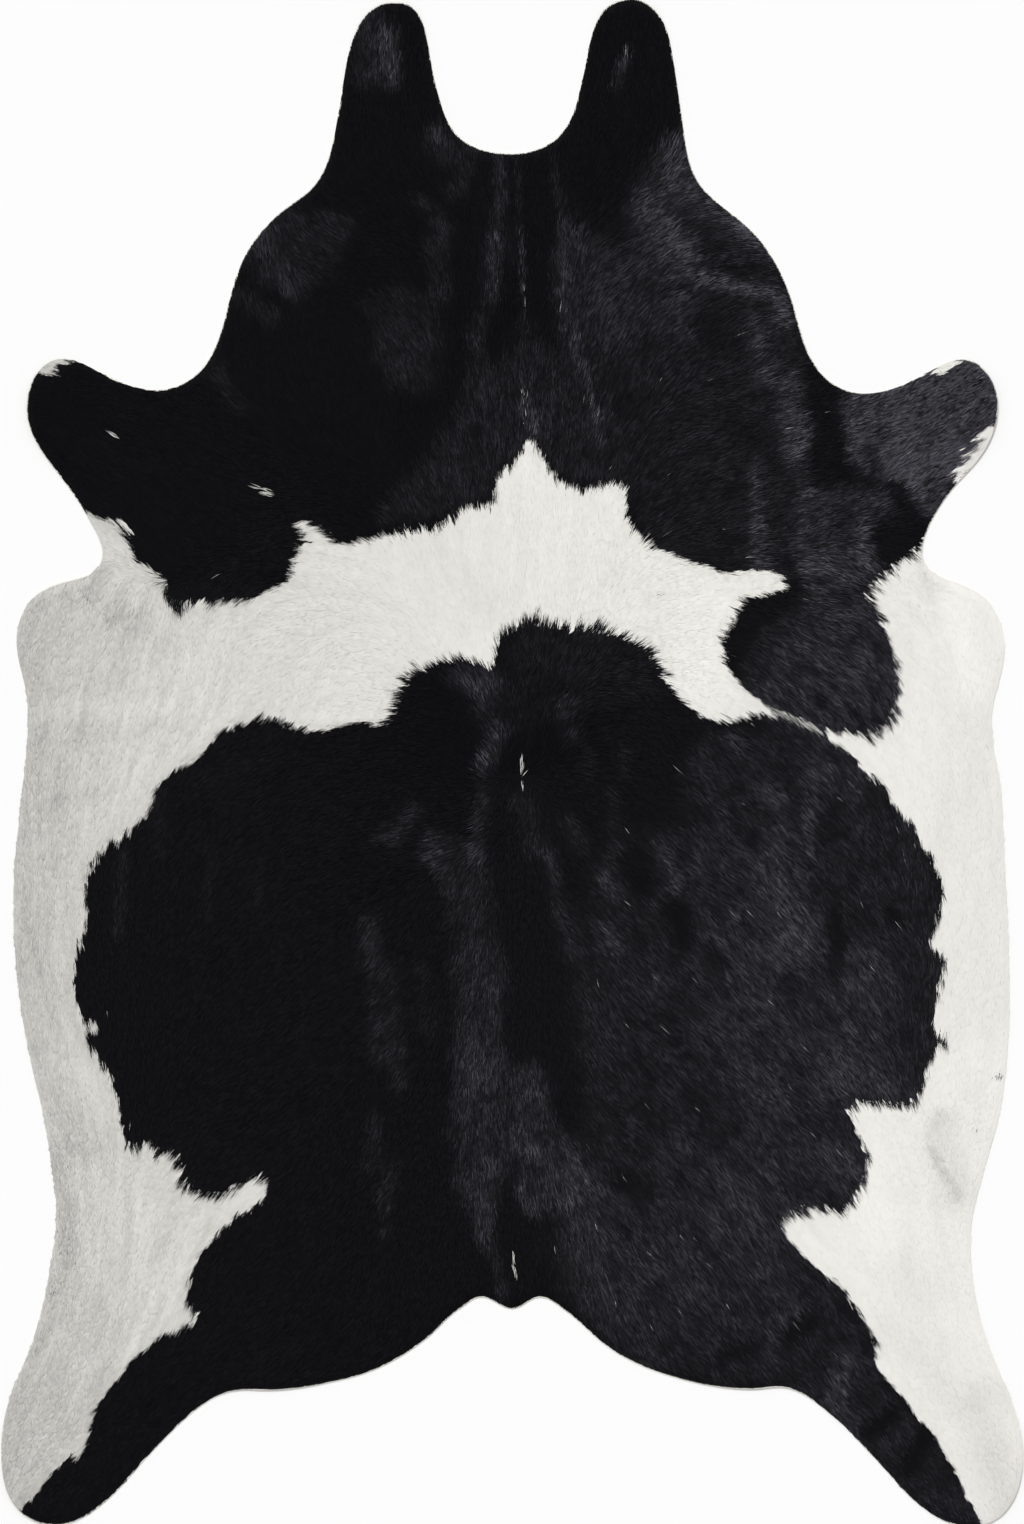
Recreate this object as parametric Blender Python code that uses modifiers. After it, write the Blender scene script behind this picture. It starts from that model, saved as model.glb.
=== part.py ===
"""A hair-on cowhide rug, lying hair side up with its head end at +Y.

The hide is one sheet of tanned skin with its coat. Its rim is a closed curve through named landmarks.
A flat slab is cut to that rim, thinned towards the flanks, and raised over the soft rolls in which
the hide lies. Origin: middle of the rim's box, on the floor. +X is the right of a person who looks
down on the rug with its head end away from them.
"""

import math

import bmesh
import bpy
import numpy as np

MM = 0.001

# The sheet, in millimetres
SKIN = 2.2          # tanned skin, which shows as the upright cut rim
PILE = 3.8          # the coat that lies on it, over the back
RIM_SLOPE = 9.0     # how far in from the rim the coat reaches its full height
SPINE_THICK = 1.15  # thickness over the spine, as a share of SKIN + PILE
FLANK_THICK = 0.80  # the same at the flanks, where skin and hair are thinner
FLANK_REACH = 640.0  # distance from the spine at which the flank thickness is reached
HALF_WIDTH = 750.0  # from the middle to past the widest point of the rim
HALF_LENGTH = 1115.0  # from the middle to past the ear tips and hind feet
CURVE_STEPS = 4     # straight runs for each stretch of the rim between two landmarks
COLUMN = 17.5       # mesh pitch across the hide, fine because the rolls run along it
ROW = 42.5          # mesh pitch along the hide

COAT_COLOUR = (0.012, 0.012, 0.014, 1.0)
COAT_ROUGHNESS = 0.55

# The rim, counter-clockwise as seen from above: landmark, x and y in millimetres, and the heading
# of the rim there in degrees from +X.
RIM = (
    ("left ear tip", -171, 1094, 180),
    ("left ear corner", -219, 1064, 240),
    ("left ear root", -249, 941, 259),
    ("left cheek", -282, 835, 233),
    ("left crest", -329, 796, 218),
    ("left neck", -379, 740, 238),
    ("left neck base", -410, 653, 256),
    ("left shoulder bay", -438, 579, 237),
    ("left arm bay", -507, 537, 183),
    ("left arm rise", -586, 559, 153),
    ("left forefoot top", -646, 582, 178),
    ("left forefoot corner", -681, 564, 230),
    ("left forefoot side", -698, 508, 270),
    ("left forefoot under", -659, 424, 307),
    ("left elbow", -609, 350, 298),
    ("left armpit", -590, 298, 265),
    ("left armpit curl", -600, 277, 218),
    ("left armpit out", -637, 263, 194),
    ("left flank shoulder", -680, 246, 214),
    ("left flank top", -713, 185, 264),
    ("left flank nick", -698, 90, 275),
    ("left flank dip", -698, 33, 266),
    ("left flank full", -718, -197, 270),
    ("left loin", -686, -459, 284),
    ("left waist", -657, -629, 276),
    ("left thigh", -661, -700, 262),
    ("left shank", -708, -876, 245),
    ("left hind foot side", -735, -988, 270),
    ("left hind foot corner", -706, -1079, 319),
    ("left hind foot end", -655, -1097, 0),
    ("left hind foot inner", -600, -1075, 35),
    ("left hock", -516, -989, 46),
    ("left hock top", -437, -918, 33),
    ("left buttock", -375, -902, 357),
    ("left rump", -229, -884, 15),
    ("left rump rise", -125, -830, 38),
    ("left tail rise", -76, -786, 33),
    ("left tail bay", -44, -769, 0),
    ("tail", 0, -786, 0),
    ("right tail bay", 40, -769, 0),
    ("right tail fall", 76, -788, 325),
    ("right rump rise", 133, -837, 322),
    ("right rump", 250, -889, 345),
    ("right buttock", 345, -901, 0),
    ("right buttock turn", 398, -900, 345),
    ("right hock top", 470, -948, 321),
    ("right hock", 518, -997, 315),
    ("right hind foot inner", 596, -1076, 325),
    ("right hind foot end", 656, -1099, 0),
    ("right hind foot corner", 705, -1082, 44),
    ("right hind foot side", 735, -996, 90),
    ("right shank", 693, -856, 113),
    ("right waist", 660, -687, 90),
    ("right loin", 675, -602, 75),
    ("right flank low", 705, -487, 81),
    ("right flank full", 716, -341, 90),
    ("right flank dip", 705, -53, 92),
    ("right flank nick", 690, 62, 88),
    ("right flank top", 709, 163, 90),
    ("right flank shoulder", 689, 228, 126),
    ("right armpit out", 648, 256, 158),
    ("right armpit curl", 606, 274, 146),
    ("right armpit", 591, 306, 85),
    ("right elbow", 625, 382, 55),
    ("right forefoot under", 666, 430, 51),
    ("right forefoot side", 699, 515, 90),
    ("right forefoot corner", 683, 562, 128),
    ("right forefoot top", 652, 581, 178),
    ("right arm rise", 585, 555, 208),
    ("right arm bay", 504, 532, 178),
    ("right shoulder bay", 433, 578, 120),
    ("right neck base", 403, 665, 108),
    ("right neck", 347, 764, 134),
    ("right cheek", 276, 826, 131),
    ("right ear root", 246, 918, 98),
    ("right ear side", 229, 1030, 100),
    ("right ear corner", 210, 1078, 130),
    ("right ear tip", 173, 1099, 180),
    ("right ear inner corner", 130, 1080, 233),
    ("right ear throat", 103, 991, 256),
    ("crown right", 77, 914, 235),
    ("crown", 0, 877, 180),
    ("crown left", -80, 905, 133),
    ("left ear throat", -108, 969, 106),
    ("left ear inner side", -126, 1057, 104),
    ("left ear inner corner", -142, 1086, 138),
)

# The long soft rolls, all in millimetres: name, the end nearer the head, the end nearer the tail,
# how far the middle bows to the right of the straight line between them (seen head end up), half
# the width, and the height.
ROLLS = (
    ("left mane roll", (-22, 872), (-32, 590), -3, 30, 6.0),
    ("right mane roll", (62, 835), (124, 450), 4, 36, 6.0),
    ("left cheek roll", (-250, 745), (-385, 685), 8, 38, 3.5),
    ("right cheek roll", (258, 765), (408, 636), 12, 30, 4.5),
    ("left shoulder roll", (-165, 700), (-148, 460), 8, 46, 4.0),
    ("right shoulder roll", (398, 620), (410, 390), 6, 38, 6.5),
    ("left arm crease", (-424, 590), (-382, 480), -4, 26, 3.5),
    ("right arm crease", (482, 534), (494, 360), 4, 32, 5.0),
    ("right forefoot crease", (630, 566), (566, 430), 10, 30, 3.5),
    ("withers roll", (16, 440), (-10, 190), -6, 34, 3.5),
    ("left loin roll", (-102, -80), (-28, -710), -14, 42, 6.0),
    ("left flank roll", (-206, -130), (-180, -640), 10, 44, 4.0),
    ("right flank roll", (376, -50), (398, -340), -8, 48, 4.0),
    ("right rump roll", (250, -560), (120, -700), 14, 50, 4.0),
    ("left tail roll", (-30, -610), (-20, -756), -3, 22, 4.0),
    ("right tail roll", (56, -590), (44, -756), 4, 24, 4.5),
    ("left armpit gather", (-560, 252), (-612, 192), 3, 26, 3.0),
    ("right armpit gather", (556, 262), (612, 196), -3, 28, 3.0),
)

# Lobes whose ends curl off the floor: name, centre of the curl, its radius, and the lift there.
CURLS = (
    ("left ear", (-180, 1110), 120, 5.0),
    ("right ear", (176, 1114), 120, 5.0),
    ("left forefoot", (-722, 500), 150, 6.0),
    ("right forefoot", (722, 500), 150, 6.0),
    ("left hind foot", (-748, -1060), 170, 5.0),
    ("right hind foot", (748, -1056), 170, 5.0),
    ("left buttock", (-350, -930), 110, 3.5),
    ("right buttock", (350, -930), 110, 3.5),
)


def clear_scene():
    for thing in list(bpy.data.objects):
        bpy.data.objects.remove(thing, do_unlink=True)


def new_collection(name):
    group = bpy.data.collections.new(name)
    bpy.context.scene.collection.children.link(group)
    return group


def coat_material():
    material = bpy.data.materials.new("black coat")
    material.use_nodes = True
    shader = material.node_tree.nodes["Principled BSDF"]
    shader.inputs["Base Color"].default_value = COAT_COLOUR
    shader.inputs["Roughness"].default_value = COAT_ROUGHNESS
    shader.inputs["Metallic"].default_value = 0.0
    material.diffuse_color = COAT_COLOUR
    return material


def handle_reach(here, there):
    """Handle length between two landmarks, chord / (3 cos^2(turn / 4)), which makes a circle's arc
    of a stretch that turns evenly."""
    turn = math.radians((there[3] - here[3] + 180) % 360 - 180)
    chord = math.hypot(there[1] - here[1], there[2] - here[2])
    return chord / (3 * math.cos(turn / 4) ** 2)


def rim_curve():
    """The rim as a filled flat curve, in metres."""
    data = bpy.data.curves.new("rim", "CURVE")
    data.dimensions = "2D"
    data.fill_mode = "BOTH"
    data.resolution_u = CURVE_STEPS
    spline = data.splines.new("BEZIER")
    spline.bezier_points.add(len(RIM) - 1)
    spline.use_cyclic_u = True
    for i, row in enumerate(RIM):
        _, x, y, heading = row
        ahead = np.array([math.cos(math.radians(heading)), math.sin(math.radians(heading)), 0.0])
        place = np.array([x, y, 0.0])
        point = spline.bezier_points[i]
        point.handle_left_type = "FREE"
        point.handle_right_type = "FREE"
        point.co = place * MM
        point.handle_left = (place - ahead * handle_reach(RIM[i - 1], row)) * MM
        point.handle_right = (place + ahead * handle_reach(row, RIM[(i + 1) % len(RIM)])) * MM
    return bpy.data.objects.new("rim", data)


def rim_form(cutters):
    """A tall closed form that is as wide as the hide: upright to the top of the skin, then leaning
    in as the coat does."""
    curve = rim_curve()
    data = curve.data
    data.extrude = 10 * MM
    cutters.objects.link(curve)
    graph = bpy.context.evaluated_depsgraph_get()
    mesh = bpy.data.meshes.new_from_object(curve.evaluated_get(graph))
    form = bpy.data.objects.new("rim form", mesh)
    form.matrix_world = curve.matrix_world
    cutters.objects.link(form)
    bpy.data.objects.remove(curve)
    bpy.data.curves.remove(data)

    shape = bmesh.new()
    shape.from_mesh(mesh)
    bmesh.ops.remove_doubles(shape, verts=shape.verts, dist=0.0001 * MM)
    bmesh.ops.recalc_face_normals(shape, faces=shape.faces)
    bmesh.ops.translate(shape, verts=shape.verts, vec=(0, 0, (SKIN - 10) * MM))
    top = [face for face in shape.faces if face.normal.z > 0.5]
    rise = PILE * 1.5
    run = RIM_SLOPE * 1.5
    bmesh.ops.inset_region(
        shape, faces=top, use_boundary=True, use_even_offset=True, thickness=run * MM, depth=0.0
    )
    for vertex in {v for face in top for v in face.verts}:
        vertex.co.z += rise * MM
    shape.to_mesh(mesh)
    shape.free()
    form.hide_render = True
    form.display_type = "WIRE"
    return form


def slab(group):
    """A flat slab wider than the hide, SKIN + PILE thick, with its mesh in columns and rows. Its
    columns are odd in number, so no mesh line runs through the landmarks of the middle line."""
    across = 2 * math.ceil(HALF_WIDTH / COLUMN) + 1
    along = 2 * math.ceil(HALF_LENGTH / ROW)
    bpy.ops.mesh.primitive_grid_add(
        x_subdivisions=across, y_subdivisions=along, size=1, location=(0, 0, (SKIN + PILE) * MM)
    )
    sheet = bpy.context.object
    sheet.name = "hide"
    sheet.data.name = "hide"
    sheet.scale = (across * COLUMN * MM, along * ROW * MM, 1)
    bpy.ops.object.transform_apply(location=True, rotation=False, scale=True)
    for owner in list(sheet.users_collection):
        owner.objects.unlink(sheet)
    group.objects.link(sheet)
    thickness = sheet.modifiers.new("thickness", "SOLIDIFY")
    thickness.thickness = (SKIN + PILE) * MM
    thickness.offset = -1
    return sheet


def thickness_share(x):
    """Share of the full thickness: most over the spine, least at the flanks, on a cosine."""
    away = np.clip(np.abs(x) / FLANK_REACH, 0, 1)
    return FLANK_THICK + (SPINE_THICK - FLANK_THICK) * 0.5 * (1 + np.cos(math.pi * away))


def roll_height(x, y, head, tail, bow, half_width, height):
    """A roll's height: height * cos^2 of the distance across it, tapered over its end thirds.

    t runs from 0 at the head end to 1 at the tail end, and the roll's middle line lies
    4 * bow * t * (1 - t) to the side of the straight line."""
    run_x = tail[0] - head[0]
    run_y = tail[1] - head[1]
    length = math.hypot(run_x, run_y)
    t = ((x - head[0]) * run_x + (y - head[1]) * run_y) / length**2
    side = ((x - head[0]) * -run_y + (y - head[1]) * run_x) / length
    side = side - 4 * bow * t * (1 - t)
    across = np.cos(0.5 * math.pi * np.clip(side / half_width, -1, 1)) ** 2
    ends = np.clip(np.minimum(t, 1 - t) * 3, 0, 1)
    return height * across * ends**2 * (3 - 2 * ends)


def curl_height(x, y, centre, radius, lift):
    """A curl's height: lift * cos^2 of the distance from its centre, zero past the radius."""
    away = np.hypot(x - centre[0], y - centre[1]) / radius
    return lift * np.cos(0.5 * math.pi * np.clip(away, 0, 1)) ** 2


def lift(x, y):
    """How far the hide's underside is off the floor at x, y, all in millimetres."""
    rolls = sum(roll_height(x, y, *row[1:]) for row in ROLLS)
    curls = sum(curl_height(x, y, *row[1:]) for row in CURLS)
    return rolls + curls


def lay_down(mesh):
    """Thins the flat sheet towards its flanks and raises it over the rolls and curls."""
    count = len(mesh.vertices)
    flat = np.empty(count * 3, np.float32)
    mesh.vertices.foreach_get("co", flat)
    x, y, z = flat.reshape(-1, 3).astype(float).T / MM
    z = z * thickness_share(x) + lift(x, y)
    laid = np.stack([x, y, z], axis=1) * MM
    mesh.vertices.foreach_set("co", laid.astype(np.float32).ravel())
    mesh.update()


def hide(group, cutters):
    sheet = slab(group)
    cut = sheet.modifiers.new("cut to the rim", "BOOLEAN")
    cut.operation = "INTERSECT"
    cut.solver = "EXACT"
    cut.object = rim_form(cutters)
    graph = bpy.context.evaluated_depsgraph_get()
    mesh = bpy.data.meshes.new_from_object(sheet.evaluated_get(graph))
    mesh.name = "hide"
    sheet.modifiers.clear()
    sheet.data = mesh
    lay_down(mesh)
    mesh.materials.clear()
    mesh.materials.append(coat_material())
    mesh.shade_smooth()
    mesh.set_sharp_from_angle(angle=math.radians(40))
    return sheet


def build():
    clear_scene()
    rug = new_collection("cowhide rug")
    cutters = new_collection("cutters")
    cutters.hide_render = True
    hide(rug, cutters)


build()
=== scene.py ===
import math

import bpy
import numpy as np
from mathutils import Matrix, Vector


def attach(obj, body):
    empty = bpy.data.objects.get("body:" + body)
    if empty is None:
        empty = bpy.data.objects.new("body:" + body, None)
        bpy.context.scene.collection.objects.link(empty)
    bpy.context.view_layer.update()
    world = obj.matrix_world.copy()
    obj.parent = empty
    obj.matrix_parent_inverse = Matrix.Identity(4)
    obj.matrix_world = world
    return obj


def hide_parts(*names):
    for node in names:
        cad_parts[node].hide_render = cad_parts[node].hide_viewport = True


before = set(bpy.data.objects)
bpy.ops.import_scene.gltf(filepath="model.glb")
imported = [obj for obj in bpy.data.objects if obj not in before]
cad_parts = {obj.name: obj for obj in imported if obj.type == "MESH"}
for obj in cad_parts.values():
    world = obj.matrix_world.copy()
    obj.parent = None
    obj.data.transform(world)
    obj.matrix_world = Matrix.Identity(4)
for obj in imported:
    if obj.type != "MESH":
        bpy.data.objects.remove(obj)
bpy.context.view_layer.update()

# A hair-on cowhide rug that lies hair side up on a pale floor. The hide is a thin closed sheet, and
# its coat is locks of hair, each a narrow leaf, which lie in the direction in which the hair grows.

BODY = "root"
MM = 0.001

# The sheet, in millimetres, as in the CAD
SKIN = 2.2           # tanned skin, which shows as the cut rim
PILE = 3.8           # the coat that lies on it, over the back
RIM_SLOPE = 9.0      # how far in from the rim the coat reaches its full height
SPINE_THICK = 1.15   # thickness over the spine, as a share of SKIN + PILE
FLANK_THICK = 0.80   # the same at the flanks
FLANK_REACH = 640.0  # distance from the spine at which the flank thickness is reached

# Grids over the hide, in millimetres
WIDE = 790.0         # half the width of every grid
LONG = 1160.0        # half the length
LINE_PITCH = 2.0     # of the grid that holds distances from a line
SLOW_PITCH = 8.0     # of the grid that holds the hair's direction
SHINE_PITCH = 4.0    # of the grids that hold shine and shade
STREAK_PITCH = 3.0   # of the grids that hold streaks along the hair
SHEET_PITCH = 10.0   # of the sheet's own mesh
RIM_KNOWN = 30.0     # how far in from the rim the depth is worked out
PATCH_KNOWN = 40.0   # the same for the borders of the black patches
COMB_REACH = 38.0    # how near a stroke of COMB rules the hair's direction

# The cut edge of the leather, in millimetres
LEDGE = 1.7          # bare leather between the coat and the cut edge
EDGE_ROUND = 0.45    # how far the edge's upper corner is cut off, inward and down
EDGE_TUCK = 0.25     # how far the edge's foot lies inside the rim
MAP_FOOT = 4.0       # how far outside the rim the foot lies in the map for baking
MAP_TOP = 1.5        # the same for the edge's top

# The locks of hair, in millimetres and shares of their own size
LOCK_PITCH = 2.5     # from root to root
LOCK_LENGTH = 15.0
LENGTH_CHANCE = (0.75, 1.2)  # least and most of that by chance
LENGTH_TUFT = 0.1    # how much a tuft's length differs
LOCK_SHORTEST = 6.0
LOCK_LONGEST = 28.0
LOCK_WIDTH = 1.3
WIDTH_CHANCE = (0.75, 1.25)
LOCK_WIDEST_AT = 0.42  # how far along a lock it is widest
LOCK_ASIDE = 0.5     # how far it bows to one side there, by chance
LOCK_ROLL = 0.16     # how far a lock may lean to one side, as a slope
LOCK_CUT = 0.05      # least of a lock that is left where it is cut at the rim
LOCK_CUT_WIDE = 0.35  # how much wider than long, as shares, a cut lock is
LEGS_SHORTER = 0.3   # how much shorter the hair is on the four legs
LEGS_OUT = (420, 200)    # how far out from the spine they begin, and over how far
LEGS_ALONG = (420, 120)  # the same along the hide, from its middle
TUFT = 10.0          # width of a tuft of locks that lie together
TUFT_DRAW = 0.35     # how far a lock's tip is drawn to the tip of its tuft
TUFT_LONGER = 1.1    # length of a tuft, in lengths of its locks
TUFT_COLOUR = 0.35   # how much of a lock's colour goes by where its tuft is

# How a lock turns from the hair's direction, in degrees: with its tuft and by itself
TURN_TUFT = 3.5
TURN_LOCK = 5.0

# How much the locks differ by themselves, with their tuft, and along the fine and broad streaks
RAGGED = (1.1, 1.0, 2.0, 1.8)   # millimetres that the border of black and white is off
PROUD = (0.20, 0.18, 0.15, 0.15)  # millimetres that a tip stands up
LEAN = (1.0, 0.45, 0.0, 0.0)    # share of LOCK_ROLL that a lock leans

# Where a lock's points lie in the pile, as a share of it
UNDERCOAT = 0.40     # top of the short dense hair at the roots
ROOT_SUNK = 0.05     # how far below that the root lies
LOCK_MIDDLE = 0.74
LOCK_TIP = 0.90
CREASE_RIM = 20.0    # how near the rim the creases begin to fade out, in millimetres

# White locks lie flatter and closer than black ones, so the undercoat under them is higher
WHITE_UNDERCOAT = 0.66
WHITE_WIDER = 2.0
WHITE_EVENNESS = 0.35
WHITE_MIDDLE_UP = 0.04  # more of the pile under a white lock's middle, times 1 - WHITE_EVENNESS
WHITE_TIP_DOWN = 0.03   # less of it under its tip, likewise
UNDERCOAT_BLEND = 12.0  # how wide the undercoat goes from black to white, in millimetres

# Locks near where black meets white, in millimetres and shares
BORDER_REACH = 12.0
BORDER_OUT = 3.0     # how far outside the black its middle lies
BORDER_FULL = 1.5    # over 1, so that the locks next to it are border locks in full
BORDER_MORE = 2      # further locks for each one there
BORDER_SLIMMER = 0.55
BORDER_LONGER = 0.35
RAGGED_REACH = 14.0  # how fast its raggedness falls off away from it
RAGGED_FULL = 1.4    # over 1, so that it is ragged in full next to it
HIND_SMOOTHER = 0.6  # how much less ragged it is on the hind legs
HIND_LEGS = (760, 120)  # how far to the tail end of the middle they begin, and over how far

# At the rim, in millimetres
RIM_REACH = 5.0      # how far in from the rim there are twice as many locks
ROOT_CLEAR = 0.1     # how far inside the rim the last roots are
RIM_CLEAR = 0.2      # how far inside the rim the hair is cut
RIM_BARE = 0.5       # leather left bare outside the hair where the rim faces the tail end

# Single hairs of the other colour, in millimetres and shares. The second numbers of SINGLE_WIDE and
# DARK_LONG are times the share of such hairs that grow there, and are added to the first.
STRAY_SHARE = 0.00022  # share of stray light hairs among the black ones
STRAY_LEFT = 0.25    # how many of those there are on the left
STRAY_RIGHT = 1.75   # how many more on the right
STRAY_MORE = (40, 120)  # x from which there are more, and over how far
STRAY_DEEP = 10      # how deep in a patch they grow
STRAY_END = 700      # y past which there are none
SINGLE_PROUD = 0.4   # how far a single hair stands up
SINGLE_WIDE = (0.5, 0.6)  # width
DARK_LONG = (0.35, 0.4)   # length of a dark hair among white ones, in lengths of a lock
LIGHT_LONG = 1.1     # the same for a light one among black ones
LIGHT_SHADE = (0.45, 0.35)  # least share of light that it lacks, and how much more by chance
LIGHT_CLEAR = 0.6    # how much lighter it is where they all are light

# Seeds of what is drawn by chance: where tufts are, how they differ, where roots are, and the locks
TUFT_SEED = 5
TUFT_KIND_SEED = 8
ROOT_SEED = 23
LOCK_SEED = 24

# Where the coat is cut into pieces, as y in millimetres
NECK_FROM = 560
SHOULDERS_FROM = 150
RUMP_TO = -460

# Streaks along the hair: width and length to each side in millimetres, and a seed
FINE_STREAKS = (4.5, 22, 71)
BROAD_STREAKS = (11.0, 55, 72)

# Layers of soft noise: how much, how wide in millimetres, and a seed
TURN_REGION = ((7.0, 46, 41),)
PUSH_ACROSS = ((9, 60, 31), (6, 22, 32), (3, 9, 35))
PUSH_ALONG = ((12, 70, 33), (7, 26, 34), (4, 10, 36))
SHADE_ACROSS = ((8, 50, 37),)
SHADE_ALONG = ((8, 50, 38),)
# MOTTLE breaks up the painted sheen of the black locks
MOTTLE = ((0.28, 26, 61), (0.30, 11, 62), (0.25, 6, 64))
MOTTLE_FINE = 0.14   # how much the fine streaks add to it
MOTTLE_LOCK = (0.15, 1.85)  # least and most that a lock makes of it by chance
MOTTLE_MOST = 2.2    # the most it comes to
MOTTLE_MOVED = 3     # millimetres that a lock's shine is taken from beside it

# The painted sheen in the black coat's colour
SHINE_CURVE = 1.5    # power that turns brightness as the eye sees it into the coat's colour
PUSH_WHOLE = 45      # reach of a stroke of shine that noise pushes about in full

# Painted shade in the white coat's colour, as the share of light that it lacks: everywhere, more to
# the left, and at the left flank
SHADE_BASE = 0.125
SHADE_LEFT = 0.29
SHADE_FAR_LEFT = 0.13
SHADE_FALL = (-737, 864)  # x from which the first of these two falls off, and over how far
SHADE_FAR_FALL = (-737, 187)  # the same for the second
SHADE_TUFT = 0.008   # how much a tuft's shade differs
SHADE_FINE = 0.024   # the same for the fine streaks
SHADE_BROAD = 0.016  # the same for the broad ones
STREAKY = (0.45, 0.7)  # how strong these streaks are on the right, and how much more on the left
STREAKY_LEFT = (80, 450)  # how far left of the spine they grow stronger, and over how far

# Colours of hair and leather
# The roots' colours are darker: a painted shade at the foot of each lock
BLACK_ROOT_SHADE = (0.0030, 0.0030, 0.0037, 1)
BLACK_TIP = (0.0062, 0.0061, 0.0074, 1)
# The colour of the black coat's painted sheen
BLACK_PAINTED_SHEEN = (0.112, 0.109, 0.131, 1)
# The undercoat: a little darker than the tips, a painted shade between the locks, and its painted sheen
BLACK_UNDER = ((0.0025, 0.0025, 0.003, 1), (0.006, 0.006, 0.007, 1))
UNDER_PAINTED_SHEEN = (0.075, 0.073, 0.087, 1)
# Likewise the white root colour is a painted shade at the foot of each lock
WHITE_ROOT_SHADE = (0.82, 0.80, 0.75, 1)
WHITE_TIP = (0.945, 0.93, 0.885, 1)
# The white undercoat: a little darker than the tips, a painted shade between the locks
WHITE_UNDER = ((0.88, 0.87, 0.84, 1), (0.93, 0.92, 0.89, 1))
# The colour towards which painted shade on the white coat goes
SHADOW = (0.0, 0.0, 0.0, 1)
SUEDE = ((0.50, 0.45, 0.38, 1), (0.66, 0.61, 0.53, 1))
CUT_LEATHER = ((0.72, 0.69, 0.63, 1), (0.86, 0.83, 0.78, 1))
FLOOR = (0.93, 0.93, 0.93, 1)

# Light and camera
AROUND = 0.58        # strength of the light from all sides
KEY = 1.80           # strength of the large soft light
KEY_SIDE = 112       # degrees from +X round to it
KEY_UP = 56          # degrees above the floor
KEY_WIDE = 16        # degrees that it spans
PIXEL = 1.44         # millimetres of floor in one pixel of the photograph
FRAME_LONG = 1524    # pixels along its longer side
LENS = 85            # millimetres
FILM = 36            # millimetres along the frame's longer side


# The rim, counter-clockwise as seen from above: landmark, x and y in millimetres, and the heading
# of the rim there in degrees from +X.
RIM = (
    ("left ear tip", -171, 1094, 180),
    ("left ear corner", -219, 1064, 240),
    ("left ear root", -249, 941, 259),
    ("left cheek", -282, 835, 233),
    ("left crest", -329, 796, 218),
    ("left neck", -379, 740, 238),
    ("left neck base", -410, 653, 256),
    ("left shoulder bay", -438, 579, 237),
    ("left arm bay", -507, 537, 183),
    ("left arm rise", -586, 559, 153),
    ("left forefoot top", -646, 582, 178),
    ("left forefoot corner", -681, 564, 230),
    ("left forefoot side", -698, 508, 270),
    ("left forefoot under", -659, 424, 307),
    ("left elbow", -609, 350, 298),
    ("left armpit", -590, 298, 265),
    ("left armpit curl", -600, 277, 218),
    ("left armpit out", -637, 263, 194),
    ("left flank shoulder", -680, 246, 214),
    ("left flank top", -713, 185, 264),
    ("left flank nick", -698, 90, 275),
    ("left flank dip", -698, 33, 266),
    ("left flank full", -718, -197, 270),
    ("left loin", -686, -459, 284),
    ("left waist", -657, -629, 276),
    ("left thigh", -661, -700, 262),
    ("left shank", -708, -876, 245),
    ("left hind foot side", -735, -988, 270),
    ("left hind foot corner", -706, -1079, 319),
    ("left hind foot end", -655, -1097, 0),
    ("left hind foot inner", -600, -1075, 35),
    ("left hock", -516, -989, 46),
    ("left hock top", -437, -918, 33),
    ("left buttock", -375, -902, 357),
    ("left rump", -229, -884, 15),
    ("left rump rise", -125, -830, 38),
    ("left tail rise", -76, -786, 33),
    ("left tail bay", -44, -769, 0),
    ("tail", 0, -786, 0),
    ("right tail bay", 40, -769, 0),
    ("right tail fall", 76, -788, 325),
    ("right rump rise", 133, -837, 322),
    ("right rump", 250, -889, 345),
    ("right buttock", 345, -901, 0),
    ("right buttock turn", 398, -900, 345),
    ("right hock top", 470, -948, 321),
    ("right hock", 518, -997, 315),
    ("right hind foot inner", 596, -1076, 325),
    ("right hind foot end", 656, -1099, 0),
    ("right hind foot corner", 705, -1082, 44),
    ("right hind foot side", 735, -996, 90),
    ("right shank", 693, -856, 113),
    ("right waist", 660, -687, 90),
    ("right loin", 675, -602, 75),
    ("right flank low", 705, -487, 81),
    ("right flank full", 716, -341, 90),
    ("right flank dip", 705, -53, 92),
    ("right flank nick", 690, 62, 88),
    ("right flank top", 709, 163, 90),
    ("right flank shoulder", 689, 228, 126),
    ("right armpit out", 648, 256, 158),
    ("right armpit curl", 606, 274, 146),
    ("right armpit", 591, 306, 85),
    ("right elbow", 625, 382, 55),
    ("right forefoot under", 666, 430, 51),
    ("right forefoot side", 699, 515, 90),
    ("right forefoot corner", 683, 562, 128),
    ("right forefoot top", 652, 581, 178),
    ("right arm rise", 585, 555, 208),
    ("right arm bay", 504, 532, 178),
    ("right shoulder bay", 433, 578, 120),
    ("right neck base", 403, 665, 108),
    ("right neck", 347, 764, 134),
    ("right cheek", 276, 826, 131),
    ("right ear root", 246, 918, 98),
    ("right ear side", 229, 1030, 100),
    ("right ear corner", 210, 1078, 130),
    ("right ear tip", 173, 1099, 180),
    ("right ear inner corner", 130, 1080, 233),
    ("right ear throat", 103, 991, 256),
    ("crown right", 77, 914, 235),
    ("crown", 0, 877, 180),
    ("crown left", -80, 905, 133),
    ("left ear throat", -108, 969, 106),
    ("left ear inner side", -126, 1057, 104),
    ("left ear inner corner", -142, 1086, 138),
)

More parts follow.
